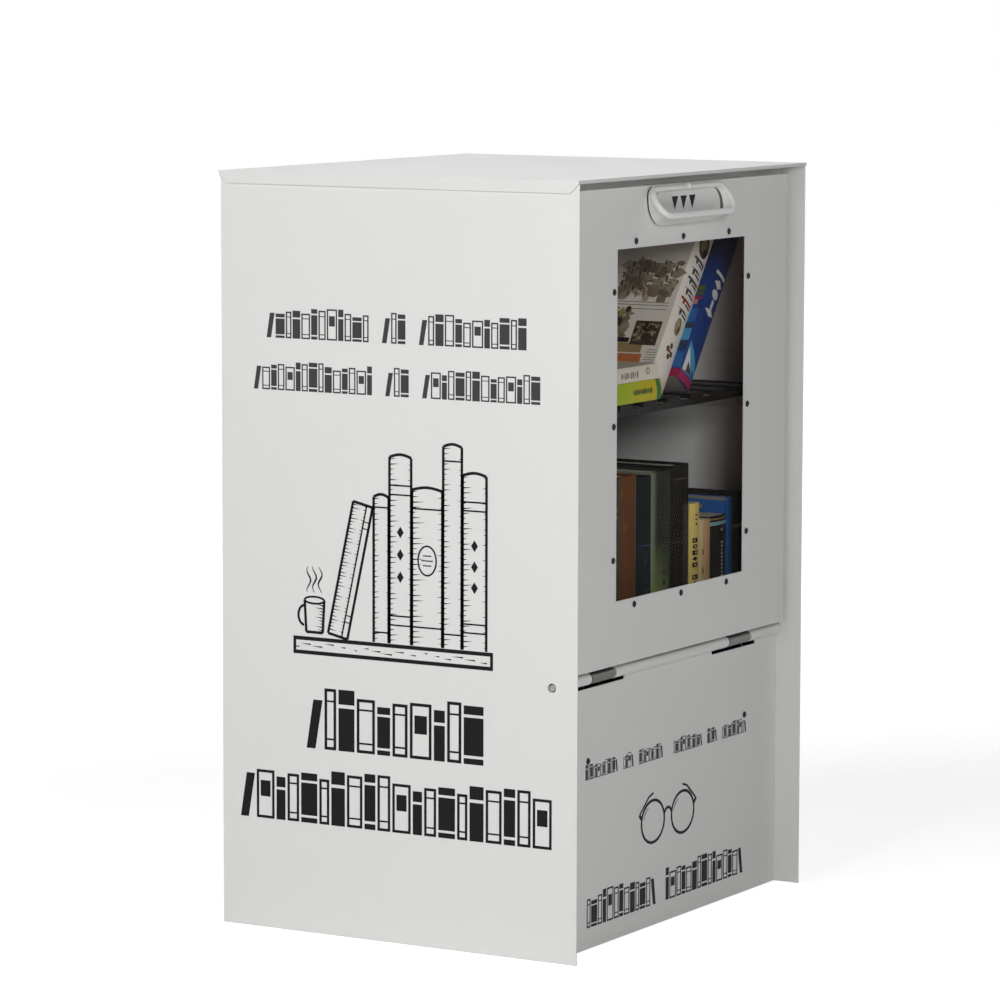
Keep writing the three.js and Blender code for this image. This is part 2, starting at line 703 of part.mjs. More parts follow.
// Places of the window's rivets, as [x, z], round its edge
function windowRivetPlaces() {
  const steps = [-1, 0, 1];
  const high = windowTop + RIVET_INSET;
  const low = windowLow - RIVET_INSET;
  const wide = windowHalf + RIVET_INSET;
  return [
    ...steps.map((step) => [step * RIVET_PITCH_X, high]),
    ...steps.map((step) => [wide, windowMid - step * RIVET_PITCH_Z]),
    ...steps.map((step) => [-step * RIVET_PITCH_X, low]),
    ...steps.map((step) => [-wide, windowMid + step * RIVET_PITCH_Z]),
  ];
}

function windowRivetHoles() {
  const run = [doorFront - OVERRUN, paneBack + OVERRUN];
  return windowRivetPlaces().map(([x, z]) => cylinderY(RIVET_SHANK_RADIUS + RIVET_CLEARANCE, run, x, z));
}

// Door: a pan round the window, whose foot flange carries the hinge leaves and their knuckles.
function doorPanel() {
  const leafRear = axisY + knuckleRadius - LEAF_INSET;
  const blank = block(both(doorHalf), [doorFront, leafRear], [axisZ, doorTop]);
  const underFoot = block(
    both(doorHalf + OVERRUN), [doorFront - OVERRUN, leafRear - SHEET], [axisZ - OVERRUN, doorLow],
  );
  const hollow = block(
    both(doorHalf - SHEET), [doorBack, leafRear + OVERRUN], [doorLow + SHEET, doorTop - SHEET],
  );
  const behindFlanges = block(
    both(doorHalf + OVERRUN), [flangeEnd, leafRear + OVERRUN], [doorLow + SHEET, doorTop + OVERRUN],
  );
  const window = block(both(windowHalf), [doorFront - OVERRUN, doorBack + OVERRUN], [windowLow, windowTop]);
  const middle = doorInnerKnuckle[0] + KNUCKLE_RELIEF;
  const bay = [doorInnerKnuckle[1] - KNUCKLE_RELIEF, doorOuterKnuckle[0] + KNUCKLE_RELIEF];
  const outer = [doorOuterKnuckle[1] - KNUCKLE_RELIEF, doorHalf + OVERRUN];
  const offLeaf = [both(middle), across(-1, bay), across(1, bay), across(-1, outer), across(1, outer)];
  const leafGaps = offLeaf.map(
    (run) => block(run, [flangeEnd, leafRear + OVERRUN], [axisZ - OVERRUN, doorLow + SHEET + OVERRUN]),
  );
  const tubes = [-1, 1].flatMap((side) => [doorInnerKnuckle, doorOuterKnuckle].map(
    (run) => cylinderX(knuckleRadius, across(side, run), axisY, axisZ),
  ));
  const bore = cylinderX(knuckleBore, both(fitHalf), axisY, axisZ);
  const screwHoles = SIDES.map(([, side]) => cylinderY(
    SCREW_RADIUS + RIVET_CLEARANCE, [doorFront - OVERRUN, doorBack + OVERRUN], side * screwX, screwZ,
  ));
  const pan = cut(blank, underFoot, hollow, behindFlanges, window, ...leafGaps);
  return cut(join(pan, ...tubes), bore, ...screwHoles, ...windowRivetHoles());
}

function windowPane() {
  const pane = block(
    both(windowHalf + PANE_LAP), [paneFront, paneBack], [windowLow - PANE_LAP, windowTop + PANE_LAP],
  );
  return cut(pane, ...windowRivetHoles());
}

// A rectangle with rounded corners from its lower left corner round: each point with its outward normal.
function roundedOutline(half, low, high, lowRound, highRound) {
  const corners = [
    [-half + lowRound, low + lowRound, lowRound, Math.PI],
    [half - lowRound, low + lowRound, lowRound, 1.5 * Math.PI],
    [half - highRound, high - highRound, highRound, 0],
    [-half + highRound, high - highRound, highRound, 0.5 * Math.PI],
  ];
  return corners.flatMap(([u, v, radius, from]) => Array.from({ length: CORNER_STEPS + 1 }, (_, i) => {
    const turn = from + (Math.PI / 2) * (i / CORNER_STEPS);
    const normal = new THREE.Vector2(Math.cos(turn), Math.sin(turn));
    return { point: new THREE.Vector2(u, v).addScaledVector(normal, radius), normal };
  }));
}

// The handle's outline on the door, drawn inset, at a given y.
function handleRing(inset, y) {
  return roundedOutline(
    HANDLE_WIDTH / 2 - inset, handleLow + inset, handleTop - inset,
    HANDLE_FOOT_ROUND - inset, HANDLE_HEAD_ROUND - inset,
  ).map(({ point }) => new THREE.Vector3(point.x, y, point.y));
}

// One line round the handle's flared rim, at an angle about its centre line, which lies in a sloping plane.
function rimRing(angle) {
  const foot = handleLow + RIM_FOOT_RISE;
  const rise = handleTop - RIM_HEAD_DROP - foot;
  const back = RIM_FOOT_REACH - RIM_HEAD_REACH;
  const span = Math.hypot(rise, back);
  const up = new THREE.Vector3(0, back / span, rise / span);
  const out = new THREE.Vector3(0, -rise / span, back / span);
  const outline = roundedOutline(
    HANDLE_WIDTH / 2 + RIM_FLARE, 0, span, span * rimFootRoundShare, span * rimHeadRoundShare,
  );
  return outline.map(({ point, normal }) => {
    const onPlane = point.clone().addScaledVector(normal, RIM_RADIUS * Math.cos(angle));
    return new THREE.Vector3(onPlane.x, doorFront - RIM_FOOT_REACH, foot)
      .addScaledVector(up, onPlane.y)
      .addScaledVector(out, RIM_RADIUS * Math.sin(angle));
  });
}

// A scoop that is closed below and at its sides: one skin from its back over the round rim to its plate.
function pullHandle() {
  const rim = Array.from(
    { length: RIM_STEPS + 1 }, (_, i) => rimRing(RIM_START + (RIM_TURN * i) / RIM_STEPS),
  );
  const body = skinned([
    handleRing(0, handleBack), ...rim, handleRing(HANDLE_WALL, handleBack - HANDLE_PLATE),
  ]);
  const pilots = SIDES.map(([, side]) => cylinderY(
    SCREW_RADIUS + SEAT_GAP,
    [handleBack - SCREW_BITE - SEAT_GAP, handleBack + OVERRUN],
    side * screwX,
    screwZ,
  ));
  return cut(body, ...pilots);
}

// Books, each with its spine at y = 0, its lower left corner at the origin and its fore edge towards +Y
function bookSolid(thickness, height, depth, cover) {
  const board = cover === "hard" ? BOARD : PAPER_COVER;
  const lip = cover === "hard" ? BOARD_LIP : 0;
  const round = thickness * spineRoundShare;
  const wrap = new THREE.Shape();
  wrap.moveTo(0, depth);
  wrap.lineTo(0, round);
  wrap.quadraticCurveTo(thickness / 2, -round, thickness, round);
  wrap.lineTo(thickness, depth);
  wrap.lineTo(thickness - board, depth);
  wrap.lineTo(thickness - board, round + board);
  wrap.lineTo(board, round + board);
  wrap.lineTo(board, depth);
  const covers = solidOf(new THREE.ExtrudeGeometry(wrap, {
    depth: height, bevelEnabled: false, curveSegments: SPINE_STEPS,
  }));
  const pages = block(
    [board / 2, thickness - board / 2], [round + board / 2, depth - lip], [lip, height - lip],
  );
  return covers.add(pages);
}

function book([name, thicknessShare, heightShare, depthShare, cover], fullHeight) {
  const thickness = bookThickness * thicknessShare;
  const height = fullHeight * heightShare;
  const solid = bookSolid(thickness, height, BOOK_DEPTH * depthShare, cover);
  return { mesh: node(name, solid, bookCover), thickness, height };
}

// Books stand on the floor pan, side by side from the right wall.
function standingBooks() {
  let right = fitHalf - BOOK_GAP;
  return standingBookShares.map((shares) => {
    const { mesh, thickness } = book(shares, bookHeight);
    mesh.position.set(right - thickness, frontEdge + BOOK_SETBACK, floorTop + SEAT_GAP);
    right -= thickness + BOOK_GAP;
    return mesh;
  });
}

// Two books lean to the right: the first with its top on the wall, the next on the first.
function leaningBooks() {
  let foot = 0;
  return leaningBookShares.map((shares, i) => {
    const { mesh, thickness, height } = book(shares, leaningHeight);
    if (i === 0) foot = fitHalf - BOOK_GAP - height * Math.sin(LEAN_ANGLE);
    mesh.rotation.y = LEAN_ANGLE;
    mesh.position.set(
      foot - thickness * Math.cos(LEAN_ANGLE),
      frontEdge + LEAN_SETBACK + i * LEAN_STAGGER,
      shelfTop + SEAT_GAP + thickness * Math.sin(LEAN_ANGLE),
    );
    foot -= (thickness + BOOK_GAP) / Math.cos(LEAN_ANGLE);
    return mesh;
  });
}

// Two books lie flat on the shelf, spines forward, beside the last leaning book, whose edge is given.
function flatBooks(leaningEdge) {
  const end = leaningEdge - FLAT_STACK_GAP;
  let level = shelfTop + SEAT_GAP;
  return flatBookShares.map((shares, i) => {
    const { mesh, thickness } = book(shares, end + fitHalf);
    mesh.rotation.y = -Math.PI / 2;
    mesh.position.set(end - i * FLAT_STACK_STEP, frontEdge + FLAT_BOOK_SETBACK, level);
    level += thickness + BOOK_GAP;
    return mesh;
  });
}

// Assembly
const cabinet = new THREE.Group();
cabinet.add(
  ...SIDES.map(([name, side]) => node(`${name}_side_panel`, sidePanel(side), paint)),
  node("top_panel", topPanel(), paint),
  node("back_panel", backPanel(), paint),
  node("base_plate", basePlate(), blackSteel),
  node("floor_pan", floorPan(), innerPaint),
  node("lower_front_panel", lowerFrontPanel(), paint),
  node("header_rail", headerRail(), paint),
  ...SIDES.map(([name, side]) => node(`${name}_jamb`, jamb(side), paint)),
  ...SIDES.map(([, side]) => bumper(side)),
  node("hinge_rod", hingeRod(), zincSteel),
  ...SIDES.map(([name, side]) => node(`torsion_spring_${name}`, torsionSpring(side), springSteel)),
  ...SIDES.map(([name, side]) => panelRivet(`panel_rivet_${name}`, side)),
  node("book_shelf", bookShelf(), blackSteel),
  ...SIDES.map(([name, side]) => node(`shelf_bracket_${name}`, shelfBracket(side), innerPaint)),
);

const door = new THREE.Group();
door.add(
  node("door_panel", doorPanel(), paint),
  node("window_pane", windowPane(), clearSheet),
  ...windowRivetPlaces().map(([x, z], i) => {
    const grip = SHEET + SEAT_GAP + PANE_THICKNESS;
    const mesh = node(`window_rivet_${String(i + 1).padStart(2, "0")}`, rivet(grip), blackSteel);
    mesh.position.set(x, doorFront - SEAT_GAP, z);
    return mesh;
  }),
  node("pull_handle", pullHandle(), whitePlastic),
  ...SIDES.map(([name, side]) => handleScrew(`handle_screw_${name}`, side)),
);

const leaning = leaningBooks();
const books = new THREE.Group();
books.add(...standingBooks(), ...flatBooks(leaning.at(-1).position.x), ...leaning);

const box = new THREE.Group();
box.add(cabinet, door, books);

export default box;
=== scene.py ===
"""Looks of a street book exchange box: a sheet-steel cabinet with a sprung window door and books inside.

Metres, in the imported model's frame: X to the right, the front faces -Y, Z up.
"""

import json
import math

import bmesh
import bpy
from mathutils import Matrix, Vector


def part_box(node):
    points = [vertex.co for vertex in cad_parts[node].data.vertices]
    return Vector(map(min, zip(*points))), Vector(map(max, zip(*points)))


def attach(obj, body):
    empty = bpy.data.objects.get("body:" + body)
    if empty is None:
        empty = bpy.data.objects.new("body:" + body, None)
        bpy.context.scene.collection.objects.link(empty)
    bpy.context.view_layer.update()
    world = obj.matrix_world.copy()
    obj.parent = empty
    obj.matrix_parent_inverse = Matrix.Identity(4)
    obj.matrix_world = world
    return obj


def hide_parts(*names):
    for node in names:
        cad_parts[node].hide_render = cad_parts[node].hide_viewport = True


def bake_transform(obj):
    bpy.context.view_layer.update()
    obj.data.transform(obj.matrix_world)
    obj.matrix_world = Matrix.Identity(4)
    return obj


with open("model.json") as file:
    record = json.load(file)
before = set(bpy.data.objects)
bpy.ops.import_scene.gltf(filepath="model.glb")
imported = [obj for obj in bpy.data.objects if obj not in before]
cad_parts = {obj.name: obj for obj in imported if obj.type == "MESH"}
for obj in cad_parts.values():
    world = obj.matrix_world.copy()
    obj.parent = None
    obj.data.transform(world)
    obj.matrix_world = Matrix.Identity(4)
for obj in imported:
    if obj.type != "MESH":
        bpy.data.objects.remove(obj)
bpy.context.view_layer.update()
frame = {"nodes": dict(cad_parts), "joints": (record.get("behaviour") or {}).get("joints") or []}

MM = 0.001
scene = bpy.context.scene

# Camera, solved from the cabinet's corners in the photograph
CAMERA_PLACE = Vector((-4.2508, -2.46554, 1.00685))
CAMERA_AZIMUTH = math.radians(-59.6633)
CAMERA_ELEVATION = math.radians(6.3852)
CAMERA_ROLL = math.radians(0.1467)
CAMERA_LENS = 166.998
CAMERA_SENSOR = 36
CAMERA_SHIFT = -0.02
CAMERA_REACH = 50

# Light: lamps as name, place, side and power
SKY_STRENGTH = 0.08
LAMPS = [
    ("key", Vector((-4.2, 0.5, 2.4)), 2.4, 96),
    ("fill", Vector((-1.9, -2.0, 1.4)), 0.7, 24),
    ("crown", Vector((0.1, 0.1, 3.4)), 1.6, 4),
    ("back", Vector((3.4, 2.4, 2.2)), 2.2, 15),
]
LIGHT_TARGET = Vector((0, 0, 0.4))
FLOOR_HALF = 9
FLOOR_GLOW = 0.68
FLOOR_FADE = (0.9, 2.4)
FLOOR_COLOUR = (0.95, 0.95, 0.95, 1)
WHITE = (1, 1, 1, 1)


def linear(hex_colour):
    """A colour as written, such as "#e2e2e0", in linear values with alpha."""
    parts = [int(hex_colour[i : i + 2], 16) / 255 for i in (1, 3, 5)]
    return [p / 12.92 if p <= 0.04045 else ((p + 0.055) / 1.055) ** 2.4 for p in parts] + [1]


def linked(obj):
    scene.collection.objects.link(obj)
    return obj


def new_node(tree, kind, inputs, output=0, **settings):
    """An output of a new node. The node's inputs take numbers, colours, or the outputs of other nodes."""
    node = tree.nodes.new(f"ShaderNode{kind}")
    for name, value in settings.items():
        setattr(node, name, value)
    for socket, value in inputs.items():
        if isinstance(value, bpy.types.NodeSocket):
            tree.links.new(value, node.inputs[socket])
        else:
            node.inputs[socket].default_value = value
    return node.outputs[output]


# Camera, lamps, world and floor
def make_camera():
    back = Vector((
        math.sin(CAMERA_AZIMUTH) * math.cos(CAMERA_ELEVATION),
        -math.cos(CAMERA_AZIMUTH) * math.cos(CAMERA_ELEVATION),
        math.sin(CAMERA_ELEVATION),
    ))
    right = Vector((math.cos(CAMERA_AZIMUTH), math.sin(CAMERA_AZIMUTH), 0))
    up = back.cross(right)
    rolled_right = right * math.cos(CAMERA_ROLL) + up * math.sin(CAMERA_ROLL)
    rolled_up = up * math.cos(CAMERA_ROLL) - right * math.sin(CAMERA_ROLL)
    turn = Matrix((rolled_right, rolled_up, back)).transposed()
    camera = bpy.data.cameras.new("camera")
    camera.lens = CAMERA_LENS
    camera.sensor_width = CAMERA_SENSOR
    camera.shift_y = CAMERA_SHIFT
    camera.clip_end = CAMERA_REACH
    obj = linked(bpy.data.objects.new("camera", camera))
    obj.matrix_world = Matrix.Translation(CAMERA_PLACE) @ turn.to_4x4()
    scene.camera = obj


def make_lamp(name, place, size, power):
    lamp = bpy.data.lights.new(name, "AREA")
    lamp.shape = "SQUARE"
    lamp.size = size
    lamp.energy = power
    obj = linked(bpy.data.objects.new(name, lamp))
    obj.location = place
    obj.rotation_euler = (place - LIGHT_TARGET).to_track_quat("Z", "Y").to_euler()


def seen_ray(tree):
    """1 for camera, glossy and transmission rays, 0 for those that only light things."""
    path = tree.nodes.new("ShaderNodeLightPath")
    total = path.outputs["Is Camera Ray"]
    for ray in ("Is Glossy Ray", "Is Transmission Ray"):
        total = new_node(tree, "Math", {0: total, 1: path.outputs[ray]}, operation="MAXIMUM")
    return total


def make_world():
    world = bpy.data.worlds.new("studio")
    scene.world = world
    world.use_nodes = True
    tree = world.node_tree
    background = tree.nodes["Background"]
    background.inputs["Color"].default_value = WHITE
    strength = new_node(tree, "Mix", {"A": SKY_STRENGTH, "B": 1, "Factor": seen_ray(tree)}, "Result")
    tree.links.new(strength, background.inputs["Strength"])


def make_floor():
    """A floor that glows to white away from the object, and takes the object's shadow."""
    mesh = bpy.data.meshes.new("floor")
    corners = [(x * FLOOR_HALF, y * FLOOR_HALF, 0) for x, y in ((-1, -1), (1, -1), (1, 1), (-1, 1))]
    mesh.from_pydata(corners, [], [(0, 1, 2, 3)])
    floor = linked(bpy.data.objects.new("floor", mesh))
    material = bpy.data.materials.new("floor")
    material.use_nodes = True
    tree = material.node_tree
    tree.nodes.clear()
    place = new_node(tree, "TexCoord", {}, "Object")
    distance = new_node(tree, "VectorMath", {0: place}, "Value", operation="LENGTH")
    limits = {"From Min": FLOOR_FADE[0], "From Max": FLOOR_FADE[1], "To Min": FLOOR_GLOW}
    fade = new_node(tree, "MapRange", {"Value": distance} | limits)
    glow = new_node(tree, "Emission", {"Strength": fade})
    diffuse = new_node(tree, "BsdfDiffuse", {"Color": FLOOR_COLOUR})
    both = new_node(tree, "AddShader", {0: diffuse, 1: glow})
    mix = new_node(tree, "MixShader", {"Fac": seen_ray(tree), 1: diffuse, 2: both})
    tree.links.new(mix, tree.nodes.new("ShaderNodeOutputMaterial").inputs["Surface"])
    mesh.materials.append(material)


scene.view_settings.view_transform = "Standard"
make_camera()
for lamp_row in LAMPS:
    make_lamp(*lamp_row)
make_world()
make_floor()


# Materials, with the heights of their reliefs
COAT_PEEL = 0.03 * MM
COAT_RIPPLE = 0.22 * MM
ENAMEL_GRAIN = 0.04 * MM
DRAW_MARK = 0.02 * MM
SPARK_GRAIN = 0.03 * MM
RUBBER_GRAIN = 0.05 * MM
WEAVE_RELIEF = 0.02 * MM
WEAVE_PITCH = 0.7 * MM
FIBRE_RELIEF = 0.03 * MM
CREASE_RELIEF = 0.12 * MM
LEAF_RELIEF = 0.35 * MM
MARKS_ACROSS_X = (40, 1, 1)
MARKS_ACROSS_Y = (1, 40, 1)
LEAVES_ACROSS_X = (5200, 24, 24)
CREASES_ALONG_Z = (1, 1, 0.3)


class Look:
    """A Principled material and the procedural nodes that feed it, in the object's own coordinates."""

    def __init__(self, name, colour, roughness, **values):
        self.material = bpy.data.materials.new(name)
        self.material.use_nodes = True
        self.tree = self.material.node_tree
        self.shader = self.tree.nodes["Principled BSDF"]
        self.colour = linear(colour)
        self.roughness = roughness
        self.shader.inputs["Base Color"].default_value = self.colour
        self.shader.inputs["Roughness"].default_value = roughness
        for socket, value in values.items():
            self.shader.inputs[socket.replace("_", " ")].default_value = value
        self.place = self.node("TexCoord", {}, "Object")

    def node(self, kind, inputs, output=0, **settings):
        return new_node(self.tree, kind, inputs, output, **settings)

    def noise(self, scale, detail=3, roughness=0.5, stretch=(1, 1, 1)):
        place = self.node("Mapping", {"Scale": stretch, "Vector": self.place})
        inputs = {"Scale": scale, "Detail": detail, "Roughness": roughness, "Vector": place}
        return self.node("TexNoise", inputs, "Fac")

    def wave(self, pitch, direction, distortion):
        """Stripes of one pitch, in metres, across one axis."""
        inputs = {"Scale": math.pi / (10 * pitch), "Distortion": distortion, "Vector": self.place}
        return self.node("TexWave", inputs, "Fac", bands_direction=direction)

    def ramp(self, source, low, high, start=0, end=1):
        """From start, where source is at low, to end, where it is at high, and no further."""
        inputs = {"Value": source, "From Min": low, "From Max": high, "To Min": start, "To Max": end}
        return self.node("MapRange", inputs)

    def math(self, operation, first, second):
        return self.node("Math", {0: first, 1: second}, operation=operation)

    def product(self, first, second):
        return self.math("MULTIPLY", first, second)

    def axis(self, name, vector=None):
        """One coordinate of the place, or of another vector."""
        return self.node("SeparateXYZ", {0: vector or self.place}, name)

    def tint(self, amount, colour, share=1):
        """Turns the base colour towards another one, by share where amount is 1."""
        base = self.shader.inputs["Base Color"]
        before = base.links[0].from_socket if base.is_linked else self.colour
        inputs = {"Factor": self.ramp(amount, 0, 1, 0, share), 6: before, 7: linear(colour)}
        self.tree.links.new(self.node("Mix", inputs, 2, data_type="RGBA"), base)

    def rough(self, source, below, above):
        """Lets the roughness go from below its own value to above it, as source goes from 0 to 1."""
        found = self.ramp(source, 0, 1, self.roughness - below, self.roughness + above)
        self.tree.links.new(found, self.shader.inputs["Roughness"])

    def bump(self, height, distance):
        """Adds a relief whose full height is distance, in metres."""
        normal = self.shader.inputs["Normal"]
        inputs = {"Distance": distance, "Height": height}
        if normal.is_linked:
            inputs["Normal"] = normal.links[0].from_socket
        self.tree.links.new(self.node("Bump", inputs), normal)


# The room inside the cabinet, between its sheets, and where painted shade with a brown cast darkens its walls
# behind the door
ROOM_SIDE = 0.2482
ROOM_BACK = 0.2113
ROOM_HEAD = 0.7898
ROOM_FRONT = -0.1775
ROOM_EDGE = 0.0003
PAINTED_SHADE_DEEP = -0.08
PAINTED_SHADE_FULL = -0.135
PAINTED_SHADE_SHARES = (0.03, 0.95)
DIRT_HEIGHT = 12 * MM


def inside_room(look):
    """1 on faces inside the cabinet, 0 on those outside."""
    side = look.math("ABSOLUTE", look.axis("X"), 0)
    found = look.ramp(side, ROOM_SIDE, ROOM_SIDE - ROOM_EDGE)
    for axis, wall, inwards in (("Y", ROOM_BACK, -1), ("Y", ROOM_FRONT, 1), ("Z", ROOM_HEAD, -1)):
        found = look.product(found, look.ramp(look.axis(axis), wall, wall + inwards * ROOM_EDGE))
    return found


def powder_coat(name, colour, roughness, shine):
    """Semi-gloss powder coat: a fine orange peel, faint handling smudges, and a trace of dirt at the foot.
    Inside the cabinet it carries painted shade, tinted brown like light thrown back from the books, most of
    all next to the door."""
    look = Look(name, colour, roughness, Specular_IOR_Level=shine)
    look.tint(look.noise(7, 4, 0.6), "#b9b7b0", 0.06)
    # painted shade: darkens the inner walls towards a brown grey, strongest next to the door
    painted_shade = look.ramp(look.axis("Y"), PAINTED_SHADE_DEEP, PAINTED_SHADE_FULL, *PAINTED_SHADE_SHARES)
    look.tint(look.product(inside_room(look), painted_shade), "#a58a82")
    foot = look.ramp(look.axis("Z"), DIRT_HEIGHT, 0)
    look.tint(look.product(foot, look.ramp(look.noise(60, 5, 0.7), 0.4, 0.8)), "#8d877c", 0.1)
    look.rough(look.noise(16, 4, 0.6), 0.05, 0.07)
    look.bump(look.noise(420, 2), COAT_PEEL)
    look.bump(look.noise(38, 2), COAT_RIPPLE)
    return look.material


def satin_black(name, colour, roughness, shine):
    """Black enamel with fine grain and thin dust on what faces up."""
    look = Look(name, colour, roughness, Specular_IOR_Level=shine)
    upwards = look.ramp(look.axis("Z", look.node("NewGeometry", {}, "Normal")), 0.5, 1)
    look.tint(look.product(upwards, look.noise(90, 5, 0.7)), "#7a746b", 0.16)
    look.rough(look.noise(140, 4), 0.08, 0.12)
    look.bump(look.noise(900, 2), ENAMEL_GRAIN)
    return look.material


def drawn_steel(name, colour, roughness, stretch):
    """Bare or plated steel with fine draw marks across one axis and cloudy plating."""
    look = Look(name, colour, roughness, Metallic=1)
    look.tint(look.ramp(look.noise(120, 5, 0.65), 0.35, 0.8), "#6f6c66")
    marks = look.noise(260, 3, 0.6, stretch)
    look.rough(marks, 0.08, 0.16)
    look.bump(marks, DRAW_MARK)
    return look.material


def clear_sheet():
    """Clear, low-glare polycarbonate. Lamps and soft light pass it unbent, so that they reach the books."""
    look = Look("clear_sheet", "#fbfcfc", 0, Transmission_Weight=1, IOR=1.035)
    look.tint(look.ramp(look.noise(9, 5, 0.65), 0.45, 0.8), "#d9d6d0", 0.12)
    rays = [look.node("LightPath", {}, f"Is {ray} Ray") for ray in ("Shadow", "Diffuse")]
    lit = look.math("MAXIMUM", *rays)
    through = look.node("BsdfTransparent", {})
    mix = look.node("MixShader", {"Fac": lit, 1: look.shader.outputs[0], 2: through})
    look.tree.links.new(mix, look.tree.nodes["Material Output"].inputs["Surface"])
    return look.material


def moulded_plastic(name, colour, roughness):
    """Injection-moulded plastic with a fine spark texture and slight handling shine."""
    look = Look(name, colour, roughness, IOR=1.48)
    look.tint(look.noise(22, 4, 0.6), "#b5b1a8", 0.08)
    look.rough(look.noise(35, 4, 0.6), 0.08, 0.1)
    look.bump(look.noise(1400, 2), SPARK_GRAIN)
    return look.material


def rubber(name, colour):
    look = Look(name, colour, 0.85)
    look.bump(look.noise(1600, 2), RUBBER_GRAIN)
    return look.material


def vinyl(name, colour):
    """Cut vinyl film: even, slightly glossy, with the faint ripple of the coat beneath."""
    look = Look(name, colour, 0.55, Specular_IOR_Level=0.08)
    look.tint(look.noise(30, 4, 0.6), "#3c3c3e", 0.1)
    look.bump(look.noise(420, 2), COAT_PEEL)
    return look.material


def cloth(name, colour, worn):
    """Book cloth: a woven ground, faded in clouds and rubbed along the spine."""
    look = Look(name, colour, 0.8, Specular_IOR_Level=0.05)
    look.tint(look.ramp(look.noise(28, 5, 0.65), 0.4, 0.8), worn, 0.45)
    look.bump(look.product(look.wave(WEAVE_PITCH, "X", 0.4), look.wave(WEAVE_PITCH, "Z", 0.4)), WEAVE_RELIEF)
    look.bump(look.noise(200, 4), FIBRE_RELIEF)
    return look


def coated(name, colour, roughness=0.34):
    """Laminated or printed paper: glossy, with faint creases and finger marks."""
    look = Look(name, colour, roughness, Specular_IOR_Level=0.1)
    look.tint(look.noise(45, 5, 0.6), "#5d574e", 0.14)
    look.rough(look.noise(25, 4, 0.6), 0.06, 0.12)
    look.bump(look.noise(70, 4, 0.6, CREASES_ALONG_Z), CREASE_RELIEF)
    return look


def page_edges(name, colour, aged):
    """The cut edges of a page block: thin leaves across the thickness, browned in patches."""
    look = Look(name, colour, 0.85, Specular_IOR_Level=0.05)
    leaves = look.noise(1, 3, 0.6, LEAVES_ACROSS_X)
    look.tint(leaves, aged, 0.5)
    look.tint(look.noise(30, 4, 0.6), aged, 0.3)
    look.bump(leaves, LEAF_RELIEF)
    return look.material


paint = powder_coat("powder_coat", "#e6e6e4", 0.36, 0.2)
inner_paint = powder_coat("inner_paint", "#dcdad6", 0.5, 0.06)
enamel = satin_black("black_enamel", "#17130f", 0.42, 0.06)
zinc = drawn_steel("zinc_steel", "#9c9c98", 0.42, MARKS_ACROSS_X)
dark_wire = drawn_steel("dark_wire", "#626262", 0.3, MARKS_ACROSS_Y)
grey_wire = drawn_steel("grey_wire", "#6c6c6b", 0.42, MARKS_ACROSS_Y)
white_plastic = moulded_plastic("white_plastic", "#f4f4f2", 0.34)
rivet_black = satin_black("rivet_black", "#101011", 0.26, 0.2)
bumper_rubber = rubber("bumper_rubber", "#1c1c1c")
# painted shade: a grey band in the handle's scoop stands in for the shadow in its channel
scoop_shade_band = rubber("scoop_shade_band", "#666667")
film_black = vinyl("film_black", "#18181a")
film_grey = vinyl("film_grey", "#424245")
pages_pale = page_edges("pages_pale", "#e2dbcd", "#b3a58d")
pages_grey = page_edges("pages_grey", "#a39b90", "#6e645a")

# Inks on the books: by roughness, then name
INKS = {
    0.4: {
        "white": "#e2ddd6", "cyan": "#86bdbc", "deep_green": "#1f6b38", "sky": "#4f9bc9",
        "mid_blue": "#2c66ad", "magenta": "#9c1c4d", "vermilion": "#b5341f",
    },
    0.45: {
        "tan": "#a98d5e", "orange": "#d07a3f", "olive": "#7d7443", "umber": "#4b3a2b", "rose": "#c07f77",
        "red": "#8f2a22", "brick": "#7e4634", "clay": "#a06c4e", "slate": "#45454c",
        "slate_blue": "#2b3c58", "lavender": "#8d9cc4", "olive_dark": "#4f5b20",
    },
    0.5: {
        "black": "#17140f", "sand": "#a89a82", "mist": "#8d8a7c", "straw": "#c9b468", "shade": "#6f6a60",
        "moss": "#47593a", "soot": "#1b1411", "plum": "#2a1b19", "dun": "#8a7763", "parchment": "#b9aa92",
    },
}
inks = {"gold": Look("ink_gold", "#8a6a2c", 0.38, Metallic=0.7).material}
for ink_roughness, ink_colours in INKS.items():
    for ink_name, ink_colour in ink_colours.items():
        inks[ink_name] = coated(f"ink_{ink_name}", ink_colour, ink_roughness).material


# Meshes
SHARP_ANGLE = math.radians(38)
SHEET_EDGE_ANGLE = math.radians(40)
TURNED_SIDES = 32


def circle(sides):
    """Directions round a circle, as cosines and sines."""
    turns = [2 * math.pi * k / sides for k in range(sides)]
    return [(math.cos(turn), math.sin(turn)) for turn in turns]


def built(name, bm, materials):
    """A mesh object from bm, whose faces point out."""
    bmesh.ops.recalc_face_normals(bm, faces=bm.faces)
    mesh = bpy.data.meshes.new(name)
    bm.to_mesh(mesh)
    bm.free()
    for material in materials:
        mesh.materials.append(material)
    return linked(bpy.data.objects.new(name, mesh))


def round_edges(obj, width, angle, keep_sharp):
    edges = obj.modifiers.new("edges", "BEVEL")
    edges.width = width
    edges.segments = 2
    edges.limit_method = "ANGLE"
    edges.angle_limit = angle
    obj.modifiers.new("normals", "WEIGHTED_NORMAL").keep_sharp = keep_sharp


def finished(name, bm, materials, body, replaces=(), matrix=None, bevel=0, smooth=True):
    """A mesh object with its place, edges, body and the solids it replaces."""
    obj = built(name, bm, materials)
    if matrix is not None:
        obj.matrix_world = matrix
    if smooth:
        obj.data.shade_smooth()
        obj.data.set_sharp_from_angle(angle=SHARP_ANGLE)
    if bevel:
        round_edges(obj, bevel, SHARP_ANGLE, True)
    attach(obj, body)
    if replaces:
        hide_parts(*replaces)


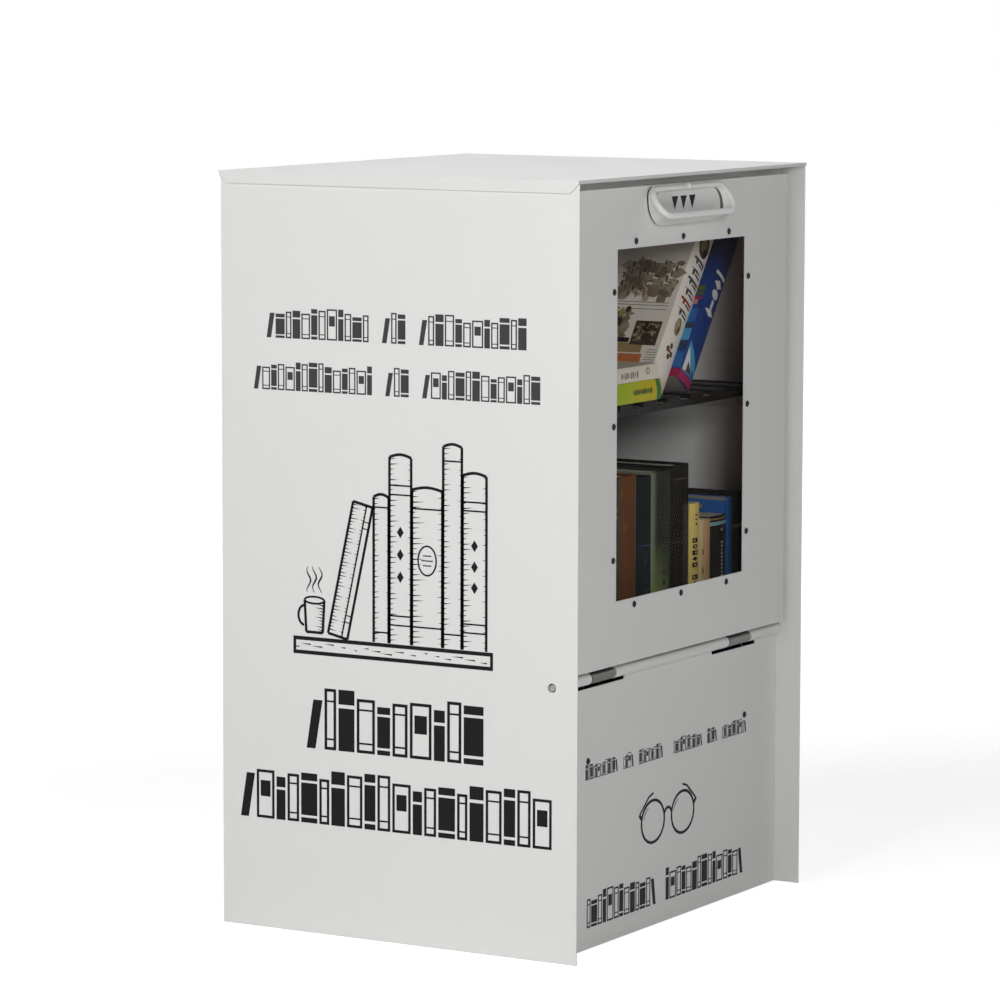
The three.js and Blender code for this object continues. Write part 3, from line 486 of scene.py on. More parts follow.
def skin(bm, rings, material=0, capped=True):
    """Faces over rings of equally many points. Returns the rings' vertices."""
    rows = [[bm.verts.new(p) for p in ring] for ring in rings]
    faces = []
    for low, high in zip(rows, rows[1:]):
        for k in range(len(low)):
            after = (k + 1) % len(low)
            faces.append(bm.faces.new((low[k], low[after], high[after], high[k])))
    if capped:
        faces += [bm.faces.new(rows[0][::-1]), bm.faces.new(rows[-1])]
    for face in faces:
        face.material_index = material
    return rows


def plate(bm, outline, place, low, high, material=0):
    """A thin plate: an outline of (a, b) points, set by place(a, b, lift) at two lifts."""
    skin(bm, [[place(a, b, lift) for a, b in outline] for lift in (low, high)], material)


def turned(name, profile, node, material, body):
    """A piece turned about an axis along Y, from (radius, y) points that start and end on the axis."""
    low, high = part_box(node)
    bm = bmesh.new()
    rings = [[(r * c, y, r * s) for c, s in circle(TURNED_SIDES)] for r, y in profile[1:-1]]
    rows = skin(bm, rings, capped=False)
    for (_, y), row in ((profile[0], rows[0]), (profile[-1], rows[-1])):
        tip = bm.verts.new((0, y, 0))
        for near, far in zip(row, row[1:] + row[:1]):
            bm.faces.new((tip, near, far))
    origin = Vector(((low.x + high.x) / 2, 0, (low.z + high.z) / 2))
    finished(name, bm, [material], body, [node], Matrix.Translation(origin))


# CAD sheets that stay as they are, with rolled edges and their finish
EDGE_ROUND = 0.45 * MM
WELD_REACH = 0.01 * MM

FINISHES = {
    paint: [
        "left_side_panel", "right_side_panel", "top_panel", "back_panel", "lower_front_panel",
        "header_rail", "left_jamb", "right_jamb", "door_panel",
    ],
    inner_paint: ["floor_pan", "shelf_bracket_left", "shelf_bracket_right"],
    enamel: ["base_plate", "book_shelf"],
    clear_sheet(): ["window_pane"],
    bumper_rubber: ["door_bumper_left", "door_bumper_right"],
}


def finish_node(name, material):
    obj = frame["nodes"][name]
    for slot in obj.material_slots:
        slot.material = material
    obj.modifiers.new("welded", "WELD").merge_threshold = WELD_REACH
    round_edges(obj, EDGE_ROUND, SHEET_EDGE_ANGLE, False)


for finish_material, node_names in FINISHES.items():
    for node_name in node_names:
        finish_node(node_name, finish_material)

# Hinge rod: a drawn bar with chamfered ends
ROD_CHAMFER = 0.8 * MM
ROD_SIDES = 40


def hinge_rod():
    low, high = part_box("hinge_rod")
    centre = (low + high) / 2
    radius = (high.z - low.z) / 2
    half = (high.x - low.x) / 2
    steps = [(radius - ROD_CHAMFER, -half), (radius, ROD_CHAMFER - half)]
    steps += [(radius, half - ROD_CHAMFER), (radius - ROD_CHAMFER, half)]
    bm = bmesh.new()
    skin(bm, [[centre + Vector((x, r * c, r * s)) for c, s in circle(ROD_SIDES)] for r, x in steps])
    finished("hinge_bar", bm, [zinc], "cabinet", ["hinge_rod"])


hinge_rod()

# Torsion springs, as the solids have them: wire, coil, pitch, and legs at both ends
WIRE_RADIUS = 0.7 * MM
SPRING_RADIUS = 5.4 * MM
SPRING_PITCH = 2 * MM
MOVING_LEG_REACH = 15 * MM
WIRE_SIDES = 10
CURL_STEPS = 22
BEND_STEPS = 8
hinge_place = Vector(frame["joints"][0]["pos_m"])


def spring_path(side, low, high):
    """The wire's centre line: up from the floor pan, round the rod, and forward under the door's foot."""
    outer, inner = (high.x, low.x) if side > 0 else (low.x, high.x)
    start = outer - side * WIRE_RADIUS
    turns = round((abs(outer - inner) - 2 * WIRE_RADIUS) / SPRING_PITCH)
    end = start - side * turns * SPRING_PITCH
    rear = hinge_place.y + SPRING_RADIUS
    over = high.z - WIRE_RADIUS
    bend = over - hinge_place.z - SPRING_RADIUS
    path = [Vector((start, rear, low.z)), Vector((start, rear, hinge_place.z - SPRING_RADIUS))]
    for i in range(turns * CURL_STEPS + 1):
        turn = 2 * math.pi * i / CURL_STEPS
        round_rod = Vector((0, math.cos(turn), math.sin(turn))) * SPRING_RADIUS
        place = Vector((start - side * SPRING_PITCH * i / CURL_STEPS, hinge_place.y, hinge_place.z))
        path.append(place + round_rod)
    for i in range(BEND_STEPS + 1):
        turn = math.pi / 2 * i / BEND_STEPS
        round_bend = Vector((0, math.cos(turn), math.sin(turn))) * bend
        path.append(Vector((end, rear - bend, over - bend)) + round_bend)
    path.append(Vector((end, rear - MOVING_LEG_REACH, over)))
    return path


def torsion_spring(name, side, wire_material):
    path = spring_path(side, *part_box(name))
    rings = []
    for i, point in enumerate(path):
        along = (path[min(i + 1, len(path) - 1)] - path[max(i - 1, 0)]).normalized()
        first = (Vector((1, 0, 0)) - along * along.x).normalized()
        second = along.cross(first)
        rings.append([point + WIRE_RADIUS * (first * c + second * s) for c, s in circle(WIRE_SIDES)])
    bm = bmesh.new()
    skin(bm, rings)
    wire = built(f"{name}_wire", bm, [wire_material])
    wire.data.shade_smooth()
    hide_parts(name)
    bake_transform(wire)


torsion_spring("torsion_spring_left", -1, dark_wire)
torsion_spring("torsion_spring_right", 1, grey_wire)

# Rivets and screws, whose heads seat at the front of their CAD solids
RIVET_HEAD_RADIUS = 3.5 * MM
RIVET_HEAD_HEIGHT = 1.6 * MM
RIVET_SHANK_RADIUS = 1.6 * MM
RIVET_TAIL_RADIUS = 3 * MM
RIVET_TAIL_HEIGHT = 1.4 * MM
RIVET_TAIL_SHARE = 0.8
MANDREL_RADIUS = 1 * MM
MANDREL_DEPTH = 0.7 * MM
DOME_STEPS = 6


def rivet(name, body):
    low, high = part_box(name)
    seat = low.y + RIVET_HEAD_HEIGHT
    tail = high.y - RIVET_TAIL_HEIGHT
    profile = [(0, low.y + MANDREL_DEPTH), (MANDREL_RADIUS, low.y + MANDREL_DEPTH)]
    dome = math.acos(MANDREL_RADIUS / RIVET_HEAD_RADIUS)
    for i in range(DOME_STEPS + 1):
        turn = dome * (1 - i / DOME_STEPS)
        profile.append((RIVET_HEAD_RADIUS * math.cos(turn), seat - RIVET_HEAD_HEIGHT * math.sin(turn)))
    profile += [
        (RIVET_SHANK_RADIUS, seat), (RIVET_SHANK_RADIUS, tail), (RIVET_TAIL_RADIUS, tail),
        (RIVET_TAIL_RADIUS * RIVET_TAIL_SHARE, high.y - RIVET_TAIL_HEIGHT / 3),
        (MANDREL_RADIUS, high.y), (0, high.y),
    ]
    turned(f"{name}_pop", profile, name, rivet_black, body)


for rivet_name in sorted(frame["nodes"]):
    if "_rivet_" in rivet_name:
        rivet(rivet_name, "door" if rivet_name.startswith("window") else "cabinet")

SCREW_RADIUS = 1.5 * MM
SCREW_HEAD_RADIUS = 3.5 * MM
SCREW_HEAD_HEIGHT = 2.4 * MM
SCREW_CROWN_SHARE = 0.82
SCREW_SOCKET_RADIUS = 1.3 * MM
SCREW_SOCKET_DEPTH = 1.2 * MM
THREAD_PITCH = 0.7 * MM
THREAD_DEPTH = 0.25 * MM


def screw(name):
    low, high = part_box(name)
    seat = high.y - SCREW_HEAD_HEIGHT
    profile = [(0, low.y)]
    for i in range(int((seat - low.y) / THREAD_PITCH)):
        y = low.y + i * THREAD_PITCH
        profile += [(SCREW_RADIUS - THREAD_DEPTH, y), (SCREW_RADIUS, y + THREAD_PITCH / 2)]
    profile += [
        (SCREW_RADIUS, seat), (SCREW_HEAD_RADIUS, seat), (SCREW_HEAD_RADIUS, seat + SCREW_HEAD_HEIGHT / 3),
        (SCREW_HEAD_RADIUS * SCREW_CROWN_SHARE, high.y - SCREW_HEAD_HEIGHT / 6),
        (SCREW_SOCKET_RADIUS, high.y), (SCREW_SOCKET_RADIUS, high.y - SCREW_SOCKET_DEPTH),
        (0, high.y - SCREW_SOCKET_DEPTH),
    ]
    turned(f"{name}_pan", profile, name, zinc, "door")


screw("handle_screw_left")
screw("handle_screw_right")

# Pull handle: the solids' scoop on finer steps, as one skin from its back over the round rim to its plate
FOOT_ROUND = 28 * MM
HEAD_ROUND = 10 * MM
HANDLE_PLATE = 3.5 * MM
HANDLE_WALL = 6 * MM
RIM_RADIUS = 3.4 * MM
RIM_FLARE = 1 * MM
RIM_HEAD_DROP = 3.5 * MM
RIM_FOOT_RISE = 10.5 * MM
RIM_HEAD_REACH = 3.6 * MM
RIM_FOOT_REACH = 20.5 * MM
RIM_FOOT_ROUND_SHARE = 0.56
RIM_HEAD_ROUND_SHARE = 0.42
SEAT_GAP = 0.3 * MM
SHADOW_RING_HEIGHT = 1.8 * MM
SHADOW_RING_INSET = 0.6 * MM
SHADOW_RING_SINK = 0.1 * MM
SCREW_INSET = 20 * MM
CORNER_STEPS = 14
RIM_STEPS = 18
RIM_START = math.radians(-70)
RIM_TURN = math.radians(260)
INNER_FOOT_ROUND = 9 * MM
INNER_HEAD_ROUND = 19 * MM
SHADE_BAND_SHARES = (0.6, 0.97)
NUB_HALF = 1.7 * MM
NUB_REACH = 3.4 * MM
NUB_SINK_SHARE = 0.55
screw_low, screw_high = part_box("handle_screw_right")
handle_low, handle_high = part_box("pull_handle")
handle_half = (screw_low.x + screw_high.x) / 2 + SCREW_INSET
handle_plate_front = handle_high.y - HANDLE_PLATE
handle_seat = handle_high.y - SHADOW_RING_HEIGHT

# The rim's foot, its length, and its up and outward directions
rim_foot = Vector((0, handle_high.y + SEAT_GAP - RIM_FOOT_REACH, handle_low.z + RIM_FOOT_RISE))
rim_rise = handle_high.z - RIM_HEAD_DROP - rim_foot.z
rim_lean = RIM_FOOT_REACH - RIM_HEAD_REACH
rim_span = math.hypot(rim_rise, rim_lean)
rim_up = Vector((0, rim_lean / rim_span, rim_rise / rim_span))
rim_out = Vector((0, -rim_rise / rim_span, rim_lean / rim_span))


def rounded_outline(half, low, high, low_round, high_round):
    """A rectangle with rounded corners, as (point, outward normal) pairs."""
    corners = [
        (-half + low_round, low + low_round, low_round, math.pi),
        (half - low_round, low + low_round, low_round, 1.5 * math.pi),
        (half - high_round, high - high_round, high_round, 0),
        (-half + high_round, high - high_round, high_round, 0.5 * math.pi),
    ]
    found = []
    for u, v, radius, start in corners:
        for i in range(CORNER_STEPS + 1):
            turn = start + math.pi / 2 * i / CORNER_STEPS
            normal = Vector((math.cos(turn), math.sin(turn)))
            found.append((Vector((u, v)) + normal * radius, normal))
    return found


def handle_ring(inset, y, low_round=FOOT_ROUND, high_round=HEAD_ROUND):
    """The handle's outline at one depth, moved inwards by inset."""
    low, high = handle_low.z + inset, handle_high.z - inset
    outline = rounded_outline(handle_half - inset, low, high, low_round - inset, high_round - inset)
    return [Vector((p.x, y, p.y)) for p, _ in outline]


def rim_ring(offset, lift):
    """The rim's centre line, moved outwards by offset in its plane and forward by lift."""
    foot_round, head_round = rim_span * RIM_FOOT_ROUND_SHARE, rim_span * RIM_HEAD_ROUND_SHARE
    outline = rounded_outline(handle_half + RIM_FLARE, 0, rim_span, foot_round, head_round)
    flat = [point + normal * offset for point, normal in outline]
    return [Vector((p.x, rim_foot.y, rim_foot.z)) + rim_up * p.y + rim_out * lift for p in flat]


def pull_handle():
    """The scoop, with a grey band of painted shade round the foot of its inner wall."""
    turns = [RIM_START + RIM_TURN * i / RIM_STEPS for i in range(RIM_STEPS + 1)]
    rim = [rim_ring(RIM_RADIUS * math.cos(t), RIM_RADIUS * math.sin(t)) for t in turns]
    inner = handle_ring(
        HANDLE_WALL, handle_plate_front, HANDLE_WALL + INNER_FOOT_ROUND, HANDLE_WALL + INNER_HEAD_ROUND,
    )
    # painted shade: the faces between these rings are grey, for the shadow along the scoop's inner wall
    shade_band = [[edge.lerp(foot, share) for edge, foot in zip(rim[-1], inner)] for share in SHADE_BAND_SHARES]
    bm = bmesh.new()
    rings = [handle_ring(0, handle_seat)] + rim + shade_band + [inner]
    skin(bm, rings)
    bm.faces.ensure_lookup_table()
    for face in bm.faces[(len(rings) - 3) * len(inner) : (len(rings) - 2) * len(inner)]:
        face.material_index = 1
    finished("handle_scoop", bm, [white_plastic, scoop_shade_band], "door", ["pull_handle"])


def handle_shadow_ring():
    """A dark ring under the handle's seat, painted shade for the shadow where the handle meets the door."""
    bm = bmesh.new()
    # painted shade: a dark rubber ring that shows as a shadow line round the handle's foot
    skin(bm, [handle_ring(SHADOW_RING_INSET, y) for y in (handle_high.y, handle_seat - SHADOW_RING_SINK)])
    finished("handle_shadow_ring", bm, [bumper_rubber], "door")


def handle_nub():
    """The small gate mark across the middle of the rim's upper bar."""
    centre = rim_foot + rim_up * rim_span + rim_out * RIM_RADIUS * NUB_SINK_SHARE
    bm = bmesh.new()
    bmesh.ops.create_uvsphere(bm, u_segments=16, v_segments=10, radius=1)
    for vert in bm.verts:
        x, y, z = vert.co
        vert.co = centre + Vector((NUB_HALF * x, 0, 0)) + rim_up * NUB_REACH * z + rim_out * NUB_REACH * y
    finished("handle_nub", bm, [white_plastic], "door")


handle_shadow_ring()
handle_nub()
pull_handle()

# Prints of cut film, 0.12 mm thick
FILM_LIFT = 0.02 * MM
FILM_TOP = 0.14 * MM
PANEL_SINK = 1.8 * MM
left_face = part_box("left_side_panel")[0].x
front_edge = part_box("left_side_panel")[0].y
panel_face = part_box("base_plate")[0].y - PANEL_SINK


def on_left_side(a, b, lift):
    """a mm behind the cabinet's front edge and b mm above the ground, on the left side panel."""
    return Vector((left_face - lift, front_edge + a * MM, b * MM))


def on_lower_front(a, b, lift):
    """a mm right of the middle and b mm above the ground, on the lower front panel."""
    return Vector((a * MM, panel_face - lift, b * MM))


def on_handle(a, b, lift):
    """a mm right of the middle and b mm above the ground, on the handle's plate."""
    return Vector((a * MM, handle_plate_front - lift, b * MM))


class Print:
    """Film shapes drawn in millimetres on one face."""

    def __init__(self, place):
        self.bm = bmesh.new()
        self.place = place

    def shape(self, outline):
        plate(self.bm, outline, self.place, FILM_LIFT, FILM_TOP)

    def bar(self, a0, b0, a1, b1):
        self.shape([(a0, b0), (a1, b0), (a1, b1), (a0, b1)])

    def stroke(self, points, width, tip=None):
        """A line of one width, or one that tapers to tip at both ends."""
        tip = width if tip is None else tip
        left, right = [], []
        count = len(points)
        for i, (a, b) in enumerate(points):
            before, after = points[max(i - 1, 0)], points[min(i + 1, count - 1)]
            along = Vector((after[0] - before[0], after[1] - before[1])).normalized()
            share = 1 - abs(2 * i / (count - 1) - 1)
            half = (tip + (width - tip) * share) / 2 if count > 2 else width / 2
            left.append((a - along.y * half, b + along.x * half))
            right.append((a + along.y * half, b - along.x * half))
        for i in range(count - 1):
            self.shape([right[i], right[i + 1], left[i + 1], left[i]])

    def line(self, a0, b0, a1, b1, width):
        self.stroke([(a0, b0), (a1, b1)], width)

    def arc(self, a, b, radius_a, radius_b, start, end, width, steps=28, tip=None):
        turns = [math.radians(start + (end - start) * i / steps) for i in range(steps + 1)]
        self.stroke([(a + radius_a * math.cos(t), b + radius_b * math.sin(t)) for t in turns], width, tip)

    def done(self, name, material, body):
        finished(name, self.bm, [material], body, smooth=False)


# Rows of small books take the place of the printed lines
BOOK_WIDTHS = (0.3, 0.22, 0.36, 0.26, 0.2, 0.4, 0.28, 0.24, 0.34)
BOOK_HEIGHTS = (1.0, 0.86, 0.94, 0.78, 0.98, 0.88, 0.82, 1.0, 0.9)
BOOK_KINDS = ("solid", "outline", "banded", "outline", "solid", "label", "outline", "banded", "outline")
BOOK_CUTS = {"solid": (0, 0.7, 0.76, 1), "banded": (0, 0.1, 0.15, 0.8, 0.85, 1)}
LABEL_SHARES = (0.45, 0.78)
LABEL_INSET = 1.7
RULE_SHARES = (0.16, 0.78)
RULE_WEIGHT = 0.6

# Of a row, as shares of its height: lines, gaps, spare room, and the leaning book's lean, width and rise
ROW_LINE = 0.05
ROW_GAP = 0.045
ROW_SPARE = 0.15
ROW_LEAN = 0.3
ROW_END_WIDTH = 0.17
ROW_END_RISE = 0.8
ROW_END_OVERLAP = 0.02


def small_book(drawing, kind, a, b, width, height, weight):
    """One upright book in a row."""
    far, top = a + width, b + height
    if kind in BOOK_CUTS:
        for low, high in zip(BOOK_CUTS[kind][::2], BOOK_CUTS[kind][1::2]):
            drawing.bar(a, b + height * low, far, b + height * high)
        return
    drawing.bar(a, b, a + weight, top)
    drawing.bar(far - weight, b, far, top)
    inner, outer = a + weight, far - weight
    drawing.bar(inner, b, outer, b + weight)
    drawing.bar(inner, top - weight, outer, top)
    if kind == "label":
        low, high = (b + height * share for share in LABEL_SHARES)
        drawing.bar(a + weight * LABEL_INSET, low, far - weight * LABEL_INSET, high)
    else:
        for share in RULE_SHARES:
            drawing.bar(inner, b + height * share, outer, b + height * share + weight * RULE_WEIGHT)


def book_row(drawing, a0, a1, b0, b1, start):
    """Upright books from a0 to a1 on a common foot, and one that leans at the end."""
    height = b1 - b0
    gap = height * ROW_GAP
    lean = height * ROW_LEAN
    room = a1 - a0 - lean
    widths = []
    while sum(widths) + gap * len(widths) < room - height * ROW_SPARE:
        widths.append(height * BOOK_WIDTHS[(start + len(widths)) % len(BOOK_WIDTHS)])
    scale = (room - gap * len(widths)) / sum(widths)
    a = a0
    for i, width in enumerate(widths):
        tall = height * BOOK_HEIGHTS[(start + 2 * i) % len(BOOK_HEIGHTS)]
        kind = BOOK_KINDS[(start + i) % len(BOOK_KINDS)]
        small_book(drawing, kind, a, b0, width * scale, tall, height * ROW_LINE)
        a += width * scale + gap
    thick, top = height * ROW_END_WIDTH, b0 + height * ROW_END_RISE
    drawing.shape([(a1 - thick, b0), (a1, b0), (a1 - lean + thick, top), (a - lean * ROW_END_OVERLAP, top)])


# Upright books on a plank, drawn in outline with hatching: foot, width, height and kind
SHELF_BOOKS = [
    (106, 28, 178, "bands"), (135, 22, 206, "plain"), (158, 36, 160, "label"), (195, 26, 192, "bands"),
    (222, 18, 150, "plain"),
]
LINE = 3
HATCH = 1.2
PLANK_TOP = 312
CROWN_STEPS = 8
CROWN_RISE = 3
HATCH_PITCH = 5.2
PAGE_HATCH_PITCH = 3.6
DRAWN_BANDS = {
    "bands": (0.1, 0.15, 0.8, 0.85), "label": (0.12, 0.88), "plain": (0.07, 0.93),
    "leaning": (0.12, 0.17, 0.83, 0.88),
}
DIAMOND_SHARES = (0.36, 0.48, 0.6)
DIAMOND = (4, 6)
LABEL_PLACE = 0.55
LABEL_RADII = (0.3, 0.42)
LABEL_LINES = ((-0.14, 0.14), (0, 0.19), (0.14, 0.14))


def hatch(drawing, a, b, reach, drop, width):
    """A hatching line that starts full at a and thins out over its reach."""
    drawing.shape([(a, b - width / 2), (a, b + width / 2), (a + reach, b + drop)])


def drawn_book(drawing, a, width, height, kind):
    low, high = PLANK_TOP, PLANK_TOP + height
    far, middle = a + width, a + width / 2
    drawing.line(a, low, a, high, LINE)
    drawing.line(far, low, far, high, LINE)
    shares = [i / CROWN_STEPS for i in range(CROWN_STEPS + 1)]
    drawing.stroke([(a + width * s, high + CROWN_RISE * math.sin(math.pi * s)) for s in shares], LINE)
    for level in DRAWN_BANDS[kind]:
        drawing.line(a, low + height * level, far, low + height * level, HATCH * 1.4)
    if kind == "label":
        centre = low + height * LABEL_PLACE
        drawing.arc(middle, centre, width * LABEL_RADII[0], width * LABEL_RADII[1], 0, 360, HATCH * 1.5)
        for rise, reach in LABEL_LINES:
            level = centre + width * rise
            drawing.line(middle - width * reach, level, middle + width * reach, level, HATCH)
    if kind == "bands":
        half, tall = DIAMOND
        for share in DIAMOND_SHARES:
            b = low + height * share
            drawing.shape([(middle - half, b), (middle, b - tall), (middle + half, b), (middle, b + tall)])
    lines = int(height / HATCH_PITCH)
    for i in range(lines):
        b = low + height * (i + 0.6) / lines
        hatch(drawing, far, b, -width * (0.3 + 0.14 * math.sin(1.7 * i)), 1.2, HATCH * 1.3)
        hatch(drawing, a, b + 1, width * (0.12 + 0.07 * math.sin(2.3 * i)), -0.8, HATCH)


def leaning_drawn_book(drawing, foot, width, height, lean):
    """A book that leans on its neighbour, with its page edges hatched."""
    c, s = math.cos(lean), math.sin(lean)

    def at(u, v):
        return (foot + u * c - v * s, PLANK_TOP + u * s + v * c)

    edge = width * 0.3
    strokes = [(0, 0, width, 0, LINE), (width, 0, width, height, LINE), (0, height, width, height, LINE)]
    strokes += [(0, 0, 0, height, LINE), (edge, 0, edge, height, HATCH * 1.5)]
    strokes += [(0, height * v, edge, height * v, HATCH) for v in DRAWN_BANDS["leaning"]]
    for u0, v0, u1, v1, weight in strokes:
        drawing.line(*at(u0, v0), *at(u1, v1), weight)
    count = int(height / PAGE_HATCH_PITCH)
    for i in range(1, count):
        v = height * i / count
        reach = (width - edge) * (0.45 + 0.2 * math.sin(1.9 * i))
        for start, end, weight in (
            (at(width - 0.5, v), at(width - reach, v + 1.5), HATCH * 1.2),
            (at(edge, v + 1), at(edge + reach * 0.4, v + 2), HATCH),
        ):
            drawing.shape([start, (start[0], start[1] + weight), end])


# The mug at the end of the plank, in mm from its left edge and the plank's top
MUG_SIDES = [(0, 38, 1.92, 4.5), (1.92, 4.5, 22.08, 4.5), (22.08, 4.5, 24, 38)]
MUG_ARCS = [(12, 38, 12, 3.6, 0, 360, 2.1), (24, 21.75, 7.68, 10.26, -85, 85, 2.7)]
MUG_HATCHES = [(1.44, 6.82 + 3.23 * i, 7.2 + 2.88 * math.sin(2 * i)) for i in range(9)]
MUG_WISPS = [[(12 + 7 * k + 2.4 * math.sin(0.9 * i + k), 46 + 3 * i) for i in range(10)] for k in (-1, 0, 1)]


def mug(drawing, left):
    """A mug with steam."""
    for a0, b0, a1, b1 in MUG_SIDES:
        drawing.line(left + a0, PLANK_TOP + b0, left + a1, PLANK_TOP + b1, LINE)
    for a, b, *values in MUG_ARCS:
        drawing.arc(left + a, PLANK_TOP + b, *values)
    for a, b, reach in MUG_HATCHES:
        hatch(drawing, left + a, PLANK_TOP + b, reach, 1, HATCH * 1.3)
    for wisp in MUG_WISPS:
        drawing.stroke([(left + a, PLANK_TOP + b) for a, b in wisp], 2.2, 0.6)


# The plank under the drawn books: its depth, edge, lines and ends, and the count of its grain marks
PLANK_DEPTH = 15
PLANK_EDGE = 4.5
PLANK_LINE = 4
PLANK_END = 3.4
PLANK_GRAIN = 17


def plank(drawing, a0, a1):
    foot, edge = PLANK_TOP - PLANK_DEPTH, PLANK_TOP - PLANK_EDGE
    drawing.bar(a0, edge, a1, edge + PLANK_LINE)
    drawing.bar(a0, foot - PLANK_LINE, a1, foot)
    drawing.bar(a0, foot, a0 + PLANK_END, edge)
    drawing.bar(a1 - PLANK_END, foot, a1, edge)
    for i in range(PLANK_GRAIN):
        a = a0 + (a1 - a0) * (i + 0.5) / PLANK_GRAIN
        hatch(drawing, a, foot + 3 + 5 * ((i * 0.38) % 1), 9 + 5 * math.sin(i), 0.4, HATCH * 1.3)


# The spectacles, in mm from the middle of the panel and the ground, as values of Print.arc and Print.stroke
LENS_ARCS = [(33, 111, 25.088, 22.4, 0, 360, 3.2, 40), (33, 111, 20.608, 17.92, 118, 168, 1.4, 14, 0.4)]
ARM_STROKES = [([(58.088, 117), (63.088, 122)], 4), ([(62.088, 122), (42.088, 138), (32.088, 141)], 2.4)]
BRIDGE_ARC = (0, 113, 8, 8, 22, 158, 3.2, 16)


def spectacles(drawing):
    """Round spectacles seen from the front, with half-folded arms."""
    for side in (-1, 1):
        for a, *values in LENS_ARCS:
            drawing.arc(side * a, *values)
        for points, width in ARM_STROKES:
            drawing.stroke([(side * a, b) for a, b in points], width)
    drawing.arc(*BRIDGE_ARC)


# Rows of small books: their ends, foot and head, and which book comes first
LEFT_UPPER_ROWS = [(a0, a1, 620, 652, a0 % 5) for a0, a1 in ((60, 186), (202, 230), (246, 370))]
LEFT_UPPER_ROWS += [(a0, a1, 566, 596, a0 % 7) for a0, a1 in ((44, 182), (198, 226), (242, 386))]
LEFT_LOWER_ROWS = [(109, 322, 195, 259, 2), (29, 404, 116, 174, 5)]
FRONT_UPPER_ROWS = [
    (a0, a1, 176, 192, (a0 + 178) % 7)
    for a0, a1 in ((-178, -110), (-98, -76), (-64, -12), (12, 76), (88, 110), (122, 178))
]
FRONT_LOWER_ROWS = [(-174, -26, 22, 57, 1), (-4, 172, 22, 57, 4)]
LEANING_BOOK = (272, 24, 142, math.radians(12.5))
MUG_PLACE = 300
PLANK_ENDS = (98, 338)

# Solid triangles that point down, the way the handle is pulled
ARROWS = 3
ARROW_START = -26
ARROW_PITCH = 19
ARROW_HALF = 7
ARROW_FOOT = 752
ARROW_HEAD = 766


def drawn_rows(place, rows):
    drawing = Print(place)
    for row in rows:
        book_row(drawing, *row)
    return drawing


def left_lower_print():
    drawing = drawn_rows(on_left_side, LEFT_LOWER_ROWS)
    for row in SHELF_BOOKS:
        drawn_book(drawing, *row)
    leaning_drawn_book(drawing, *LEANING_BOOK)
    mug(drawing, MUG_PLACE)
    plank(drawing, *PLANK_ENDS)
    drawing.done("print_left_lower", film_black, "cabinet")


def front_lower_print():
    drawing = drawn_rows(on_lower_front, FRONT_LOWER_ROWS)
    spectacles(drawing)
    drawing.done("print_front_lower", film_black, "cabinet")


def handle_print():
    drawing = Print(on_handle)
    for step in range(ARROWS):
        a = ARROW_START + step * ARROW_PITCH
        drawing.shape([(a - ARROW_HALF, ARROW_HEAD), (a, ARROW_FOOT), (a + ARROW_HALF, ARROW_HEAD)])
    drawing.done("print_handle", film_black, "door")


drawn_rows(on_left_side, LEFT_UPPER_ROWS).done("print_left_upper", film_grey, "cabinet")
drawn_rows(on_lower_front, FRONT_UPPER_ROWS).done("print_front_upper", film_grey, "cabinet")
left_lower_print()
front_lower_print()
handle_print()

# Books: each CAD solid is replaced by covers, a page block and what is printed on them
SPINE_ROUND_SHARE = 0.08
BOARD = 2.4 * MM
BOARD_LIP = 3 * MM
BOARD_EDGE_ROUND = 0.5 * MM
PAPER_COVER = 0.6 * MM
PAPER_LIP = 0.15 * MM
PAPER_EDGE_ROUND = 0.12 * MM
PAGES_SIDE_GAP = 0.05 * MM
PAGES_SPINE_GAP = 0.1 * MM
PAGES_ROUND = 0.2 * MM
PAGES_DISH = 2.4 * MM
PAGES_DISH_SHARE = 0.1
PAGES_STEPS = 10
GROOVE_DEPTH = 0.9 * MM
GROOVE_PLACE = 5 * MM
GROOVE_HALF = 2.4 * MM
GROOVE_SHARE = 0.7
SPINE_STEPS = 12
LEAN_ANGLE = math.radians(36)
INK_LIFT = 0.02 * MM
INK_TOP = 0.12 * MM
INK_LEVEL_SHARE = 0.5
MARK_COLUMNS = 6
MARK_TIP = 0.08
MARK_SHAPES = {
    "diamond": lambda t: max(1 - abs(t), MARK_TIP),
    "oval": lambda t: max(math.sqrt(1 - t * t), MARK_TIP),
    "bar": lambda t: 1,
}


def extruded(section, low, high):
    """A section of (x, y) points, drawn out along Z."""
    bm = bmesh.new()
    skin(bm, [[(x, y, z) for x, y in section] for z in (low, high)])
    return bm


